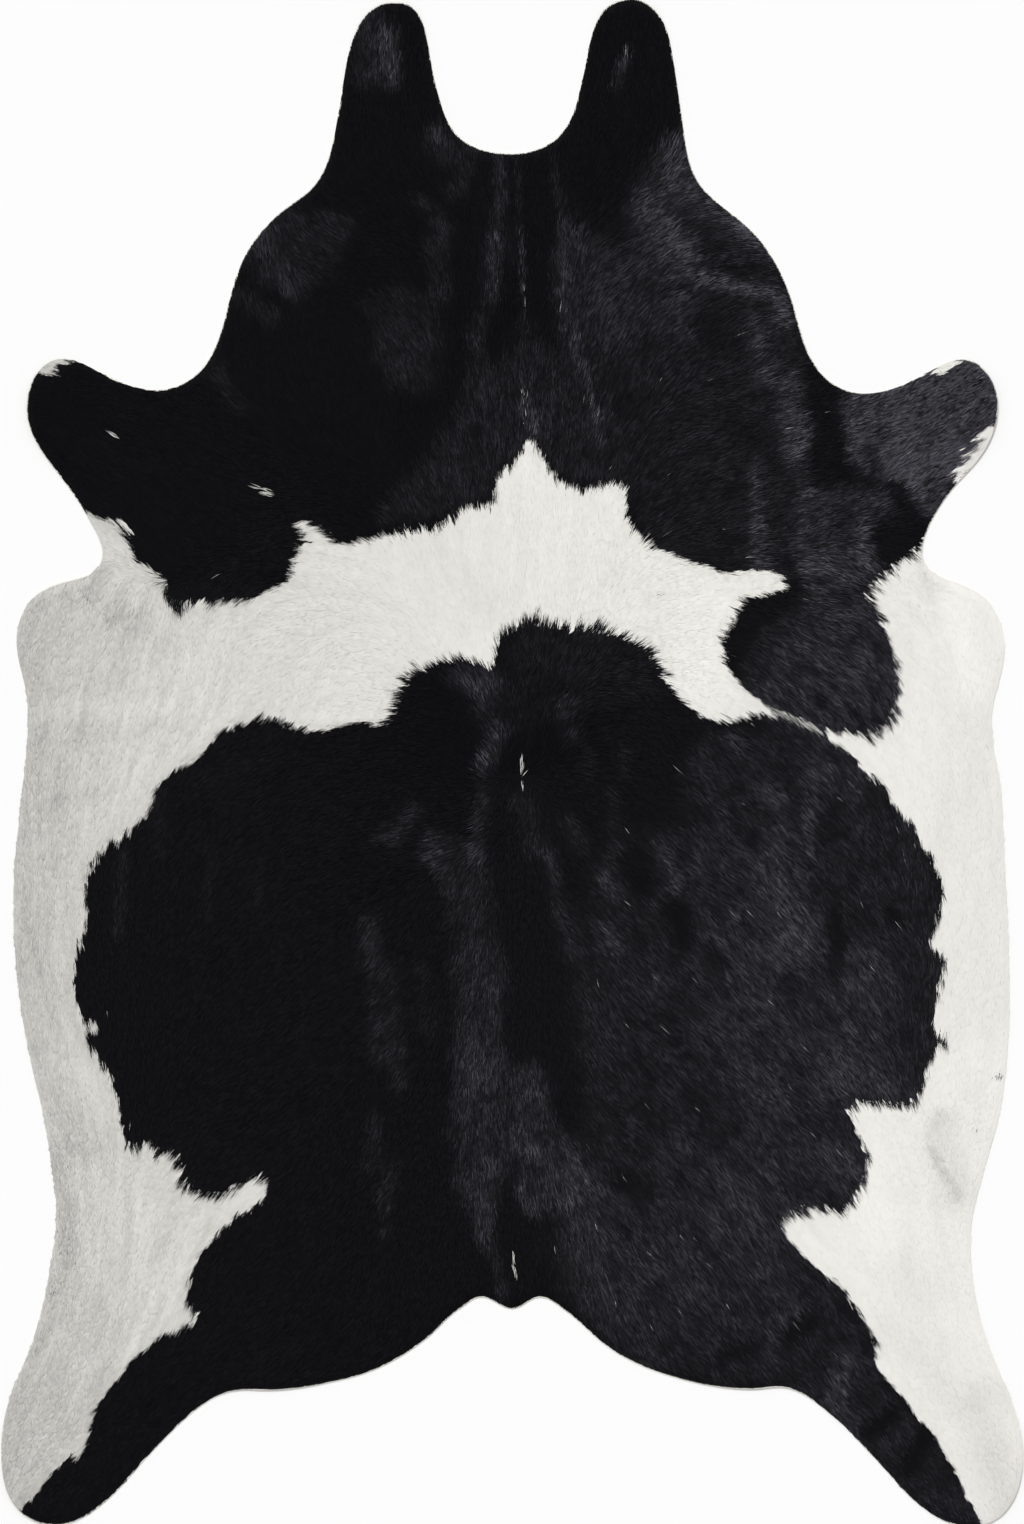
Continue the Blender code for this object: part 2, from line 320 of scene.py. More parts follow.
# The long soft rolls, all in millimetres: name, the end nearer the head, the end nearer the tail,
# how far the middle bows to the right of the straight line, half the width, and the height.
ROLLS = (
    ("left mane roll", (-22, 872), (-32, 590), -3, 30, 6.0),
    ("right mane roll", (62, 835), (124, 450), 4, 36, 6.0),
    ("left cheek roll", (-250, 745), (-385, 685), 8, 38, 3.5),
    ("right cheek roll", (258, 765), (408, 636), 12, 30, 4.5),
    ("left shoulder roll", (-165, 700), (-148, 460), 8, 46, 4.0),
    ("right shoulder roll", (398, 620), (410, 390), 6, 38, 6.5),
    ("left arm crease", (-424, 590), (-382, 480), -4, 26, 3.5),
    ("right arm crease", (482, 534), (494, 360), 4, 32, 5.0),
    ("right forefoot crease", (630, 566), (566, 430), 10, 30, 3.5),
    ("withers roll", (16, 440), (-10, 190), -6, 34, 3.5),
    ("left loin roll", (-102, -80), (-28, -710), -14, 42, 6.0),
    ("left flank roll", (-206, -130), (-180, -640), 10, 44, 4.0),
    ("right flank roll", (376, -50), (398, -340), -8, 48, 4.0),
    ("right rump roll", (250, -560), (120, -700), 14, 50, 4.0),
    ("left tail roll", (-30, -610), (-20, -756), -3, 22, 4.0),
    ("right tail roll", (56, -590), (44, -756), 4, 24, 4.5),
    ("left armpit gather", (-560, 252), (-612, 192), 3, 26, 3.0),
    ("right armpit gather", (556, 262), (612, 196), -3, 28, 3.0),
)

# Lobes whose ends curl off the floor: name, centre of the curl, its radius, and the lift there.
CURLS = (
    ("left ear", (-180, 1110), 120, 5.0),
    ("right ear", (176, 1114), 120, 5.0),
    ("left forefoot", (-722, 500), 150, 6.0),
    ("right forefoot", (722, 500), 150, 6.0),
    ("left hind foot", (-748, -1060), 170, 5.0),
    ("right hind foot", (748, -1056), 170, 5.0),
    ("left buttock", (-350, -930), 110, 3.5),
    ("right buttock", (350, -930), 110, 3.5),
)

# The black patch of the neck, shoulders and ears, with the round patch that hangs from it. It runs
# past the rim where the black does.
NECK_PATCH = (
    (-611, 354), (-562, 338), (-543, 310), (-536, 285), (-500, 268), (-490, 238), (-449, 235),
    (-399, 237), (-356, 244), (-312, 268), (-288, 316), (-294, 352), (-262, 332), (-225, 311),
    (-132, 320), (-95, 328), (-74, 350), (-26, 355), (-20, 388), (12, 430), (30, 448), (50, 412),
    (92, 378), (148, 386), (165, 332), (188, 304), (220, 297), (300, 272), (362, 276), (383, 259),
    (353, 246), (318, 235), (296, 199), (294, 163), (316, 120), (379, 73), (458, 48), (537, 59),
    (549, 148), (516, 228),
    (504, 238), (518, 264), (544, 285), (595, 321), (645, 336), (688, 408), (668, 431), (655, 422),
    (635, 409), (629, 412), (644, 428), (641, 439), (662, 454), (681, 480), (697, 485), (732, 523),
    (703, 595), (645, 592), (634, 575), (613, 562), (596, 563), (588, 577), (501, 566), (444, 609),
    (400, 753), (345, 955), (330, 1180), (0, 1185), (-330, 1180), (-395, 955), (-449, 739),
    (-464, 595), (-579, 566), (-613, 576), (-622, 578), (-642, 572), (-649, 562), (-660, 556),
    (-683, 562), (-723, 550), (-730, 465), (-680, 364),
)

# The black patch of the back, rump and tail.
BACK_PATCH = (
    (-18, 172), (2, 188), (28, 200), (50, 193), (94, 190), (150, 181), (192, 160), (214, 128),
    (238, 91), (292, 69), (379, 76), (451, 45), (516, -10),
    (566, -68), (609, -140), (621, -176), (602, -248), (619, -276), (609, -363), (625, -384),
    (602, -420), (576, -482), (487, -492), (510, -564), (480, -636), (415, -636), (386, -667),
    (436, -719), (480, -759), (518, -831), (523, -867), (566, -917), (624, -996), (677, -1096),
    (717, -1148), (386, -1176), (0, -917), (-377, -1176), (-737, -1148), (-708, -1077),
    (-685, -1048), (-652, -1011), (-629, -988), (-619, -996), (-608, -978), (-602, -946),
    (-596, -926), (-573, -891), (-540, -850), (-503, -821), (-452, -791), (-465, -770),
    (-459, -727), (-441, -694), (-408, -655), (-350, -612), (-366, -589), (-408, -615),
    (-446, -615), (-469, -596), (-481, -556), (-503, -560), (-518, -541), (-549, -546),
    (-566, -511), (-573, -464), (-596, -418), (-618, -382), (-600, -367), (-625, -359),
    (-634, -284), (-611, -204), (-611, -154), (-593, -118), (-518, -60), (-500, -17), (-435, 26),
    (-408, 54), (-352, 76), (-306, 67), (-252, 52), (-203, 59), (-174, 54), (-148, 117),
    (-118, 131), (-74, 147), (-29, 134),
)

# The way the hair grows, as strokes of a brush in millimetres, each from its start to its end.
COMB = (
    ("spine, head end", ((10, 0), (15, 175), (15, 350), (15, 525), (15, 695), (10, 860))),
    ("spine, tail end", ((10, -30), (-5, -195), (-15, -415), (-10, -600), (0, -775))),
    ("left mane", (
        (-5, 40), (-25, 175), (-45, 290), (-70, 420), (-90, 525), (-95, 640), (-95, 755),
        (-85, 855),
    )),
    ("right mane", (
        (35, 50), (50, 175), (65, 290), (85, 410), (95, 525), (85, 640), (70, 755), (60, 855),
    )),
    ("left withers fan", (
        (-15, 70), (-55, 200), (-105, 300), (-135, 420), (-165, 525), (-195, 600),
    )),
    ("left neck", ((-120, 595), (-160, 640), (-195, 670), (-240, 690), (-285, 715), (-310, 755))),
    ("left crown", ((-80, 715), (-125, 730), (-170, 735), (-215, 745), (-255, 775))),
    ("left poll", (
        (-85, 820), (-125, 825), (-160, 840), (-185, 885), (-185, 955), (-180, 1040), (-170, 1080),
    )),
    ("left cheek", ((-260, 420), (-305, 495), (-340, 545), (-360, 610), (-365, 680), (-360, 755))),
    ("left withers to shoulder", (
        (-30, 90), (-80, 175), (-140, 240), (-205, 270), (-270, 285), (-320, 290), (-355, 250),
    )),
    ("left shoulder", (
        (-190, 380), (-255, 410), (-320, 420), (-390, 445), (-465, 480), (-535, 510), (-610, 535),
        (-665, 545),
    )),
    ("left forearm under", (
        (-350, 290), (-430, 350), (-490, 410), (-565, 445), (-620, 480), (-670, 515),
    )),
    ("left shoulder fall", ((-305, 350), (-355, 315), (-400, 270), (-430, 220))),
    ("left armpit", ((-485, 290), (-520, 350), (-555, 380))),
    ("left armpit fall", ((-485, 235), (-465, 175), (-480, 105))),
    ("left withers white", (
        (-105, 175), (-160, 195), (-235, 190), (-275, 150), (-305, 90), (-325, 35),
    )),
    ("left flank edge", (
        (-635, 220), (-670, 120), (-680, -25), (-675, -170), (-660, -310), (-630, -455),
        (-600, -570),
    )),
    ("left flank", (
        (-520, 175), (-555, 60), (-580, -55), (-595, -155), (-590, -255), (-570, -355),
        (-565, -455),
    )),
    ("left back, upper", (
        (-45, 35), (-120, 65), (-190, 50), (-275, 25), (-365, -5), (-435, -55), (-490, -125),
        (-530, -210),
    )),
    ("left back, middle", (
        (-15, -95), (-120, -105), (-220, -125), (-305, -170), (-375, -240), (-440, -325),
        (-485, -415),
    )),
    ("left back, lower", (
        (-60, -195), (-120, -285), (-190, -355), (-275, -420), (-365, -480), (-450, -535),
        (-505, -600),
    )),
    ("left back, inner", ((-25, -170), (-65, -310), (-80, -455), (-105, -600), (-120, -730))),
    ("left rump", (
        (-130, -430), (-185, -545), (-240, -645), (-305, -735), (-375, -815), (-465, -875),
        (-550, -945), (-635, -1030), (-695, -1090),
    )),
    ("left buttock", ((-105, -630), (-130, -745), (-175, -830), (-235, -875))),
    ("left thigh", (
        (-580, -530), (-575, -660), (-580, -775), (-610, -890), (-650, -975), (-700, -1060),
    )),
    ("left thigh, inner", ((-405, -600), (-465, -670), (-500, -775), (-550, -875))),
    ("right withers fan", (
        (40, 85), (70, 175), (100, 265), (125, 350), (160, 450), (200, 535), (255, 600), (330, 630),
    )),
    ("right neck", ((110, 495), (140, 565), (200, 640), (255, 680), (315, 705), (370, 690))),
    ("right crown", ((70, 640), (110, 665), (165, 705), (230, 755), (290, 775), (350, 765))),
    ("right poll", ((85, 790), (125, 810), (160, 855), (170, 940), (175, 1025), (170, 1085))),
    ("right neck, outer", ((125, 755), (200, 780), (255, 805))),
    ("right withers to shoulder", (
        (50, 105), (100, 175), (170, 235), (255, 255), (345, 245), (415, 205),
    )),
    ("right shoulder", (
        (200, 350), (270, 395), (355, 420), (445, 445), (530, 480), (600, 515), (680, 545),
    )),
    ("right forearm under", (
        (330, 315), (415, 350), (500, 385), (575, 430), (640, 480), (690, 515),
    )),
    ("right shoulder fall", ((255, 290), (355, 280), (445, 255), (515, 235), (565, 175))),
    ("right neck base", ((185, 465), (270, 495), (355, 505), (415, 525))),
    ("right armpit fall", ((530, 280), (580, 220), (615, 150), (640, 60))),
    ("round patch", ((300, 235), (370, 175), (445, 125), (515, 70), (560, 5))),
    ("right flank edge", (
        (665, 175), (680, 35), (690, -125), (690, -285), (680, -440), (665, -555),
    )),
    ("right flank", ((600, 60), (630, -55), (640, -195), (640, -340), (630, -470))),
    ("right back, top", (
        (85, 90), (145, 95), (205, 70), (265, 20), (330, -40), (400, -105), (470, -180), (530, -260),
    )),
    ("right back, upper", (
        (50, -15), (100, -40), (165, -90), (235, -150), (310, -220), (385, -295), (455, -375),
        (515, -460),
    )),
    ("right back, middle", (
        (25, -125), (85, -190), (155, -255), (235, -330), (315, -405), (395, -485), (470, -570),
    )),
    ("right back, lower", (
        (12, -270), (60, -355), (120, -440), (190, -520), (265, -600), (335, -690), (400, -790),
    )),
    ("right back, inner", ((5, -340), (35, -485), (60, -630), (100, -760))),
    ("right rump", ((70, -545), (140, -630), (215, -725), (285, -815), (345, -880))),
    ("right rump, outer", (
        (240, -600), (330, -715), (415, -815), (500, -905), (575, -990), (630, -1075),
    )),
    ("right thigh", (
        (530, -555), (565, -670), (595, -775), (630, -890), (680, -990), (715, -1075),
    )),
    ("right hip", ((515, -485), (560, -570), (600, -685))),
    ("right leg, inner", ((415, -875), (485, -945), (545, -1020), (595, -1090))),
)

# Painted sheen in the black coat's colour, where it shines more (above 0) or less than round it:
# name, the two ends of a soft stroke and how far it reaches in millimetres, and how much.
SHINE = (
    ("left ear", (-210, 1060), (-205, 990), 40, 0.3),
    ("left ear, inner", (-180, 1040), (-175, 980), 25, 0.4),
    ("left crown", (-105, 900), (-95, 865), 27, 0.3),
    ("left crown edge", (-60, 880), (-80, 815), 25, 0.2),
    ("left poll", (-125, 795), (-95, 755), 23, 0.2),
    ("left poll, low", (-105, 735), (-100, 660), 26, 0.2),
    ("left crest corner", (-355, 765), (-350, 745), 29, 0.2),
    ("left crest ridge", (-345, 715), (-315, 680), 27, 0.2),
    ("left cheek", (-395, 670), (-345, 635), 23, 0.2),
    ("left shoulder fleck", (-420, 560), (-385, 505), 15, 0.2),
    ("left mane, upper", (-20, 870), (-20, 740), 15, 0.3),
    ("left mane, middle", (-25, 740), (-25, 665), 19, 0.3),
    ("left mane, lower", (-30, 650), (-55, 595), 19, 0.2),
    ("left mane, inner", (-10, 840), (0, 710), 11, 0.1),
    ("neck line, upper", (6, 872), (13, 760), 5, 0.2),
    ("neck line, lower", (13, 760), (16, 632), 5, 0.5),
    ("right crown line", (58, 870), (66, 795), 8, 0.2),
    ("right ear nick", (168, 1012), (158, 1002), 9, 0.5),
    ("right ear fold, outer", (160, 1000), (158, 965), 8, 0.25),
    ("right ear fold, inner", (148, 995), (147, 962), 8, 0.3),
    ("spike tip", (16, 511), (32, 468), 13, 0.3),
    ("right mane, upper", (85, 760), (90, 710), 29, 0.1),
    ("right mane, middle", (80, 670), (85, 595), 27, 0.1),
    ("right mane, edge", (73, 812), (76, 640), 9, 0.15),
    ("right mane, lower", (82, 620), (120, 490), 13, 0.2),
    ("right mane, foot", (125, 485), (125, 455), 19, 0.2),
    ("right withers", (65, 450), (135, 415), 63, 0.05),
    ("right neck, inner", (135, 695), (130, 605), 42, 0.1),
    ("right poll fleck", (215, 870), (220, 830), 19, 0.2),
    ("right poll edge", (240, 895), (245, 820), 27, 0.4),
    ("right crest edge, upper", (255, 805), (325, 775), 31, 0.4),
    ("right crest edge, lower", (330, 770), (370, 735), 21, 0.4),
    ("right crest", (200, 795), (220, 720), 58, 0.3),
    ("right crest ridge, upper", (230, 755), (260, 705), 31, 0.3),
    ("right crest ridge, lower", (275, 695), (350, 680), 21, 0.5),
    ("right cheek", (375, 670), (380, 640), 31, 0.5),
    ("right neck", (130, 715), (190, 665), 71, 0.05),
    ("right neck, middle", (155, 635), (220, 625), 58, 0.1),
    ("right neck, side", (235, 665), (240, 605), 19, 0.2),
    ("right shoulder ridge, upper", (345, 625), (355, 550), 23, 0.3),
    ("right shoulder ridge, turn", (375, 545), (400, 550), 27, 0.2),
    ("right shoulder ridge, middle", (390, 520), (395, 450), 29, 0.5),
    ("right shoulder ridge, foot", (405, 440), (420, 390), 23, 0.2),
    ("right throat line", (345, 410), (345, 290), 21, 0.3),
    ("right arm, foot", (615, 545), (680, 525), 54, 0.1),
    ("right arm, bright", (540, 450), (625, 420), 31, 0.2),
    ("right arm, middle", (560, 495), (645, 465), 50, 0.1),
    ("right arm line", (490, 465), (495, 415), 15, 0.2),
    ("right shoulder, low", (430, 290), (515, 270), 29, 0.2),
    ("right shoulder, outer", (495, 325), (510, 290), 29, 0.2),
    ("round patch", (485, 205), (470, 90), 71, 0.05),
    ("round patch, dark corner", (335, 165), (385, 225), 55, -0.2),
    ("back crown", (40, 165), (115, 165), 67, 0.05),
    ("back crown fleck", (75, 80), (85, 35), 23, 0.2),
    ("left of the whorl, top", (-70, 120), (-35, 105), 31, 0.4),
    ("left of the whorl", (-45, 90), (-25, 40), 25, 0.2),
    ("left of the whorl, foot", (-15, 35), (-35, -5), 23, 0.3),
    ("left of the spine, thin", (-35, -10), (-45, -135), 19, 0.3),
    ("left of the spine, ridge top", (-105, -115), (-95, -155), 21, 0.2),
    ("left of the spine, middle", (-45, -285), (-50, -430), 54, 0.1),
    ("left of the spine, lower", (-45, -430), (-60, -530), 54, 0.1),
    ("tail, left", (-40, -570), (-40, -675), 27, 0.2),
    ("tail root, left", (-25, -700), (-15, -760), 15, 0.3),
    ("left back fleck 1", (-135, -60), (-160, -90), 27, 0.2),
    ("left back fleck 2", (-185, -105), (-160, -110), 19, 0.2),
    ("left back fleck 3", (-200, -230), (-195, -280), 23, 0.3),
    ("left back, field", (-175, -305), (-180, -405), 38, 0.2),
    ("left back, field inner", (-125, -290), (-120, -375), 27, 0.1),
    ("left back fleck 5", (-160, -405), (-155, -460), 19, 0.2),
    ("left loin fleck 1", (-190, -510), (-195, -575), 21, 0.2),
    ("left loin fleck 2", (-165, -575), (-175, -610), 23, 0.2),
    ("left loin fleck 3", (-180, -625), (-180, -670), 15, 0.2),
    ("far left streak 1", (-560, -125), (-565, -240), 17, 0.15),
    ("far left streak 2", (-500, -40), (-505, -130), 17, 0.1),
    ("far left streak 3", (-430, -120), (-435, -210), 13, 0.1),
    ("far left streak 4", (-355, -130), (-360, -200), 12, 0.1),
    ("left back, top flecks", (-440, -20), (-330, 20), 22, 0.08),
    ("spine, upper", (15, -55), (30, -115), 27, 0.2),
    ("right of the spine line", (50, -125), (65, -190), 17, 0.2),
    ("right of the spine", (70, -205), (80, -265), 21, 0.2),
    ("spine, lower", (25, -455), (15, -545), 46, 0.2),
    ("rump crown", (50, -555), (85, -605), 50, 0.1),
    ("tail, right", (10, -600), (35, -640), 19, 0.3),
    ("right back fleck 2", (75, -75), (95, -115), 19, 0.2),
    ("right back fleck 3", (135, -40), (145, -120), 18, 0.15),
    ("right back fleck 4", (205, -110), (230, -170), 18, 0.2),
    ("right back fleck 5", (125, -155), (140, -190), 12, 0.2),
    ("right back fleck 6", (125, -230), (145, -270), 22, 0.15),
    ("right back fleck 7", (195, -280), (210, -310), 20, 0.1),
    ("right back, head end fleck 2", (105, 15), (105, -15), 12, 0.15),
    ("right back, head end fleck 3", (155, 20), (155, -20), 12, 0.15),
    ("right back ridge 1", (295, -70), (255, -155), 33, 0.1),
    ("right back ridge 1, low", (310, -125), (275, -240), 33, 0.1),
    ("right back, head end fleck", (315, 35), (325, 25), 21, 0.2),
    ("right back ridge 3", (370, -40), (390, -100), 29, 0.2),
    ("right back ridge 4", (425, -50), (425, -130), 17, 0.2),
    ("right back ridge 5", (370, -140), (405, -250), 58, 0.2),
    ("right back, head end outer", (430, -10), (480, -25), 42, 0.2),
    ("right back, field", (345, -285), (355, -455), 129, 0.15),
    ("right back, outer field", (490, -305), (480, -460), 75, 0.2),
    ("right back, outer foot", (530, -440), (560, -470), 46, 0.2),
    ("right loin, outer", (455, -555), (485, -605), 46, 0.2),
    ("right loin", (270, -575), (370, -585), 104, 0.1),
    ("right rump", (125, -675), (300, -685), 129, 0.1),
    ("right rump, low", (155, -780), (330, -815), 100, 0.05),
    ("right hip", (330, -680), (415, -755), 79, 0.05),
    ("right hock fleck", (400, -785), (370, -810), 21, 0.2),
    ("right hock", (475, -845), (470, -895), 31, 0.2),
    ("right hock, low", (455, -915), (480, -945), 27, 0.2),
    ("right shank, foot", (650, -1045), (670, -1080), 27, 0.3),
    ("right neck hollow, low", (255, 620), (300, 600), 42, -0.1),
    ("right shoulder hollow", (310, 500), (335, 460), 35, -0.1),
    ("right arm spot 1", (510, 450), (515, 420), 19, -0.4),
    ("right arm spot 2", (595, 405), (600, 395), 17, -0.3),
    ("right shoulder spot", (475, 345), (480, 320), 21, -0.2),
    ("back hollow 2", (170, -135), (180, -170), 27, -0.3),
    ("back hollow 3", (225, -205), (245, -245), 27, -0.2),
    ("right back hollow", (460, -210), (465, -315), 19, -0.2),
    ("right back edge, spot", (540, -210), (545, -220), 19, -0.2),
    ("right loin hollow 1", (275, -480), (295, -530), 50, -0.1),
    ("right loin hollow 2", (155, -600), (185, -610), 35, -0.2),
    ("right loin hollow 3", (235, -595), (240, -600), 21, -0.2),
    ("hock hollow 1", (395, -820), (425, -800), 27, -0.2),
    ("hock hollow 2", (310, -840), (340, -835), 21, -0.2),
    ("shank hollow 1", (505, -955), (540, -930), 23, -0.2),
    ("shank hollow 2", (565, -1010), (590, -960), 23, -0.2),
    ("right back spot 1", (280, -270), (290, -285), 21, -0.2),
    ("right back spot 2", (340, -100), (345, -110), 15, -0.2),
)

# Wide areas of painted sheen in the black coat's colour: name, how much, how soft the edge is in
# millimetres, and the outline.
SHINE_AREAS = (
    ("right neck", 0.18, 17, (
        (70, 765), (140, 740), (165, 790), (185, 850), (230, 915), (270, 825), (380, 745),
        (415, 625), (420, 535), (415, 420), (405, 290), (370, 265), (300, 270), (215, 300),
        (155, 380), (70, 390), (35, 450), (60, 550), (65, 665),
    )),
    ("right arm", 0.62, 10, (
        (475, 535), (560, 565), (630, 595), (705, 575), (710, 510), (655, 450), (630, 395),
        (595, 355), (560, 405), (510, 415), (480, 450),
    )),
    ("right shoulder", 0.35, 12, (
        (410, 380), (485, 400), (545, 380), (515, 320), (520, 265), (470, 255), (410, 260),
    )),
    ("round patch", 0.34, 18, (
        (320, 150), (370, 215), (430, 250), (510, 240), (560, 165), (555, 45), (450, 35), (360, 75),
    )),
    ("right back", 0.20, 23, (
        (255, 30), (355, 50), (485, 25), (595, -80), (630, -240), (630, -415), (580, -485),
        (500, -485), (520, -615), (400, -660), (485, -760), (535, -875), (645, -1030), (600, -1090),
        (415, -915), (185, -875), (85, -775), (60, -630), (105, -485), (70, -340), (90, -240),
        (125, -125), (220, -85),
    )),
    ("left of the spine", 0.18, 10, (
        (-120, -95), (-70, -110), (-35, -140), (-15, -270), (-5, -400), (50, -430), (70, -515),
        (110, -600), (70, -630), (25, -630), (-15, -600), (-45, -685), (-80, -615), (-90, -455),
        (-95, -255),
    )),
    ("back crown", 0.11, 14, (
        (-10, 165), (35, 215), (125, 195), (200, 155), (185, 90), (70, 60), (-10, 50),
    )),
    ("left withers", 0.21, 13, (
        (-50, 585), (-10, 565), (25, 630), (60, 550), (40, 465), (-15, 380), (-130, 335),
        (-185, 355), (-95, 480),
    )),
    ("left crest", 0.17, 12, (
        (-395, 755), (-350, 785), (-225, 775), (-235, 715), (-275, 675), (-315, 655), (-360, 690),
    )),
    ("left neck", 0.17, 13, (
        (-200, 650), (-160, 665), (-110, 650), (-115, 535), (-175, 525), (-200, 595),
    )),
)

# Painted shade and light in the white coat's colour, with a few smudges: where it is darker (above 0)
# or lighter than round it, as soft strokes like the above: how much is the share of light missing.
SHADE = (
    ("left armpit", (-605, 280), (-545, 215), 40, 0.11),
    ("left armpit corner", (-680, 220), (-520, 175), 61, 0.03),
    ("left flank edge, lower", (-680, -355), (-655, -500), 40, 0.02),
    ("left waist", (-650, -555), (-645, -700), 32, 0.09),
    ("left waist, inner", (-620, -500), (-610, -555), 36, 0.09),
    ("left hip low", (-650, -745), (-580, -815), 61, 0.05),
    ("left leg", (-665, -875), (-705, -1045), 90, 0.02),
    ("left leg, inner", (-580, -875), (-620, -945), 43, 0.09),
    ("withers, left of the crease", (-30, 350), (-30, 185), 18, 0.02),
    ("withers, left fan", (-105, 290), (-60, 220), 54, 0.04),
    ("band smudge", (205, 240), (215, 240), 14, 0.03),
    ("right armpit", (575, 250), (560, 195), 32, 0.02),
    ("right waist smudge", (615, -515), (635, -615), 43, 0.14),
    ("right thigh mottle", (525, -810), (560, -840), 43, 0.05),
    ("right thigh mottle 2", (595, -875), (630, -915), 47, 0.04),
    ("right leg", (680, -915), (710, -1060), 61, 0.11),
    ("right thigh mottle 3", (560, -715), (600, -760), 40, 0.02),
    ("right flank low edge", (680, -455), (660, -555), 25, 0.02),
    ("left flank band", (-675, 90), (-500, 90), 25, -0.08),
    ("left belly streak 1", (-440, 155), (-440, 80), 25, -0.05),
    ("left hook", (-415, -620), (-365, -600), 25, -0.04),
    ("left flank inner", (-620, -55), (-630, -285), 32, -0.02),
    ("tongue", (270, 235), (270, 120), 72, -0.03),
    ("right flank top", (630, 230), (665, 120), 43, -0.06),
    ("right hip", (500, -570), (530, -685), 54, -0.04),
    ("right flank, all along", (670, 60), (670, -340), 90, 0.05),
    ("right flank hollow", (625, -35), (625, -120), 32, 0.04),
    ("right armpit wrinkle 1", (585, 290), (590, 230), 10, 0.10),
    ("right armpit wrinkle 2", (615, 285), (605, 245), 9, 0.06),
    ("right waist smudge 1", (602, -557), (616, -579), 12, 0.20),
    ("right waist smudge 2", (624, -589), (638, -615), 12, 0.16),
    ("right waist smudge 3", (615, -495), (595, -535), 12, 0.08),
    ("right leg, low", (700, -1000), (715, -1080), 55, 0.06),
    ("right thigh, all along", (560, -730), (650, -980), 85, 0.04),
    ("left armpit wrinkle", (-612, 251), (-578, 218), 6, 0.14),
    ("left armpit wrinkle, inner", (-578, 218), (-520, 228), 6, 0.12),
    ("left armpit wrinkle, outer", (-640, 252), (-622, 232), 6, 0.10),
    ("left flank fold", (-650, 50), (-505, 55), 10, 0.08),
    ("left flank fold, low", (-670, -40), (-565, -25), 15, 0.05),
    ("left waist curl 1", (-640, -420), (-610, -450), 15, -0.06),
    ("left waist curl 2", (-600, -470), (-585, -510), 13, -0.05),
    ("left waist curl 3", (-650, -500), (-640, -545), 13, 0.05),
)
# Where single hairs of the other colour grow, light among the black and dark among the white: name,
# the two ends and the reach of a soft stroke in millimetres, and their share in its middle.
SINGLE_HAIRS = (
    ("left shoulder nick", (-361, 393), (-345, 390), 3, 0.8),
    ("left shoulder nick, root", (-346, 387), (-340, 385), 6, 0.9),
    ("left arm nick", (-568, 469), (-560, 465), 3, 0.9),
    ("right ear nick", (165, 1010), (169, 1008), 3, 0.6),
    ("whorl", (13, -4), (14, -28), 3.5, 0.8),
    ("whorl, fan", (12, -4), (14, -24), 9, 0.08),
    ("whorl, above", (12, 12), (14, -4), 5, 0.08),
    ("tail line", (1, -700), (2, -730), 3, 0.9),
    ("neck line", (16, 680), (18, 636), 4, 0.10),
    ("above the withers", (18, 530), (21, 486), 9, 0.08),
    ("right mane ends", (106, 520), (130, 474), 10, 0.05),
    ("left armpit fold", (-616, 252), (-604, 228), 7, 0.14),
    ("left armpit fold, inner", (-604, 226), (-576, 217), 7, 0.14),
    ("left shoulder edge", (-640, 255), (-636, 247), 6, 0.12),
    ("left flank corner", (-677, 227), (-674, 221), 6, 0.12),
    ("left flank edge", (-694, -82), (-692, -90), 6, 0.10),
    ("left flank edge, low", (-711, -226), (-706, -236), 7, 0.10),
    ("left waist specks", (-655, -550), (-636, -582), 18, 0.06),
    ("left hip specks", (-648, -682), (-626, -722), 18, 0.08),
    ("left shank specks", (-665, -742), (-658, -758), 11, 0.10),
    ("left shank speck", (-576, -864), (-575, -867), 5, 0.30),
    ("right flank mark", (692, -445), (703, -446), 6, 1.0),
    ("right flank speck", (666, -523), (668, -526), 4, 0.7),
    ("right waist hairs", (600, -556), (634, -612), 16, 0.05),
    ("band hairs", (205, 239), (213, 242), 5, 0.30),
    ("line over the back patch", (368, 84), (432, 54), 6, 0.45),
)

# Creases in the coat, between hair that lies one way and hair that lies another: name, the two
# ends and the reach of a soft stroke in millimetres, and how deep it is.
CREASES = (
    ("withers crease", (-23, 372), (-27, 185), 13, 1.1),
    ("withers, left fan 1", (-62, 350), (-34, 262), 8, 0.6),
    ("withers, left fan 2", (-92, 330), (-46, 232), 8, 0.5),
    ("withers, left fan 3", (-120, 300), (-60, 205), 9, 0.4),
    ("withers, right fan 1", (4, 340), (-8, 240), 8, 0.5),
    ("withers, right fan 2", (36, 330), (16, 236), 8, 0.4),
    ("left flank fold", (-668, 50), (-501, 55), 13, 1.0),
    ("left flank fold, low", (-655, -26), (-560, -14), 15, 0.5),
    ("left armpit wrinkle 1", (-616, 262), (-580, 218), 12, 1.6),
    ("left armpit wrinkle 2", (-640, 256), (-606, 206), 12, 1.2),
    ("left belly fold", (-385, 170), (-340, 75), 20, 0.8),
    ("left belly fold, far", (-505, 175), (-480, 105), 20, 0.6),
    ("right armpit wrinkle 1", (583, 288), (592, 232), 11, 1.5),
    ("right armpit wrinkle 2", (616, 284), (604, 246), 11, 1.0),
    ("right waist wrinkle 1", (590, -490), (606, -540), 12, 0.9),
    ("right waist wrinkle 2", (640, -505), (622, -572), 11, 0.8),
    ("mane, left", (-22, 870), (-30, 640), 9, 0.8),
    ("mane, right", (70, 880), (78, 560), 9, 0.6),
    ("neck line", (14, 760), (17, 500), 7, 0.6),
    ("spine, left", (-34, 40), (-62, -330), 14, 0.6),
)


# ---------------------------------------------------------------- lines, grids and soft noise


def soft_step(t):
    """3t^2 - 2t^3, which eases a value from 0 to 1."""
    t = np.clip(t, 0, 1)
    return t * t * (3 - 2 * t)


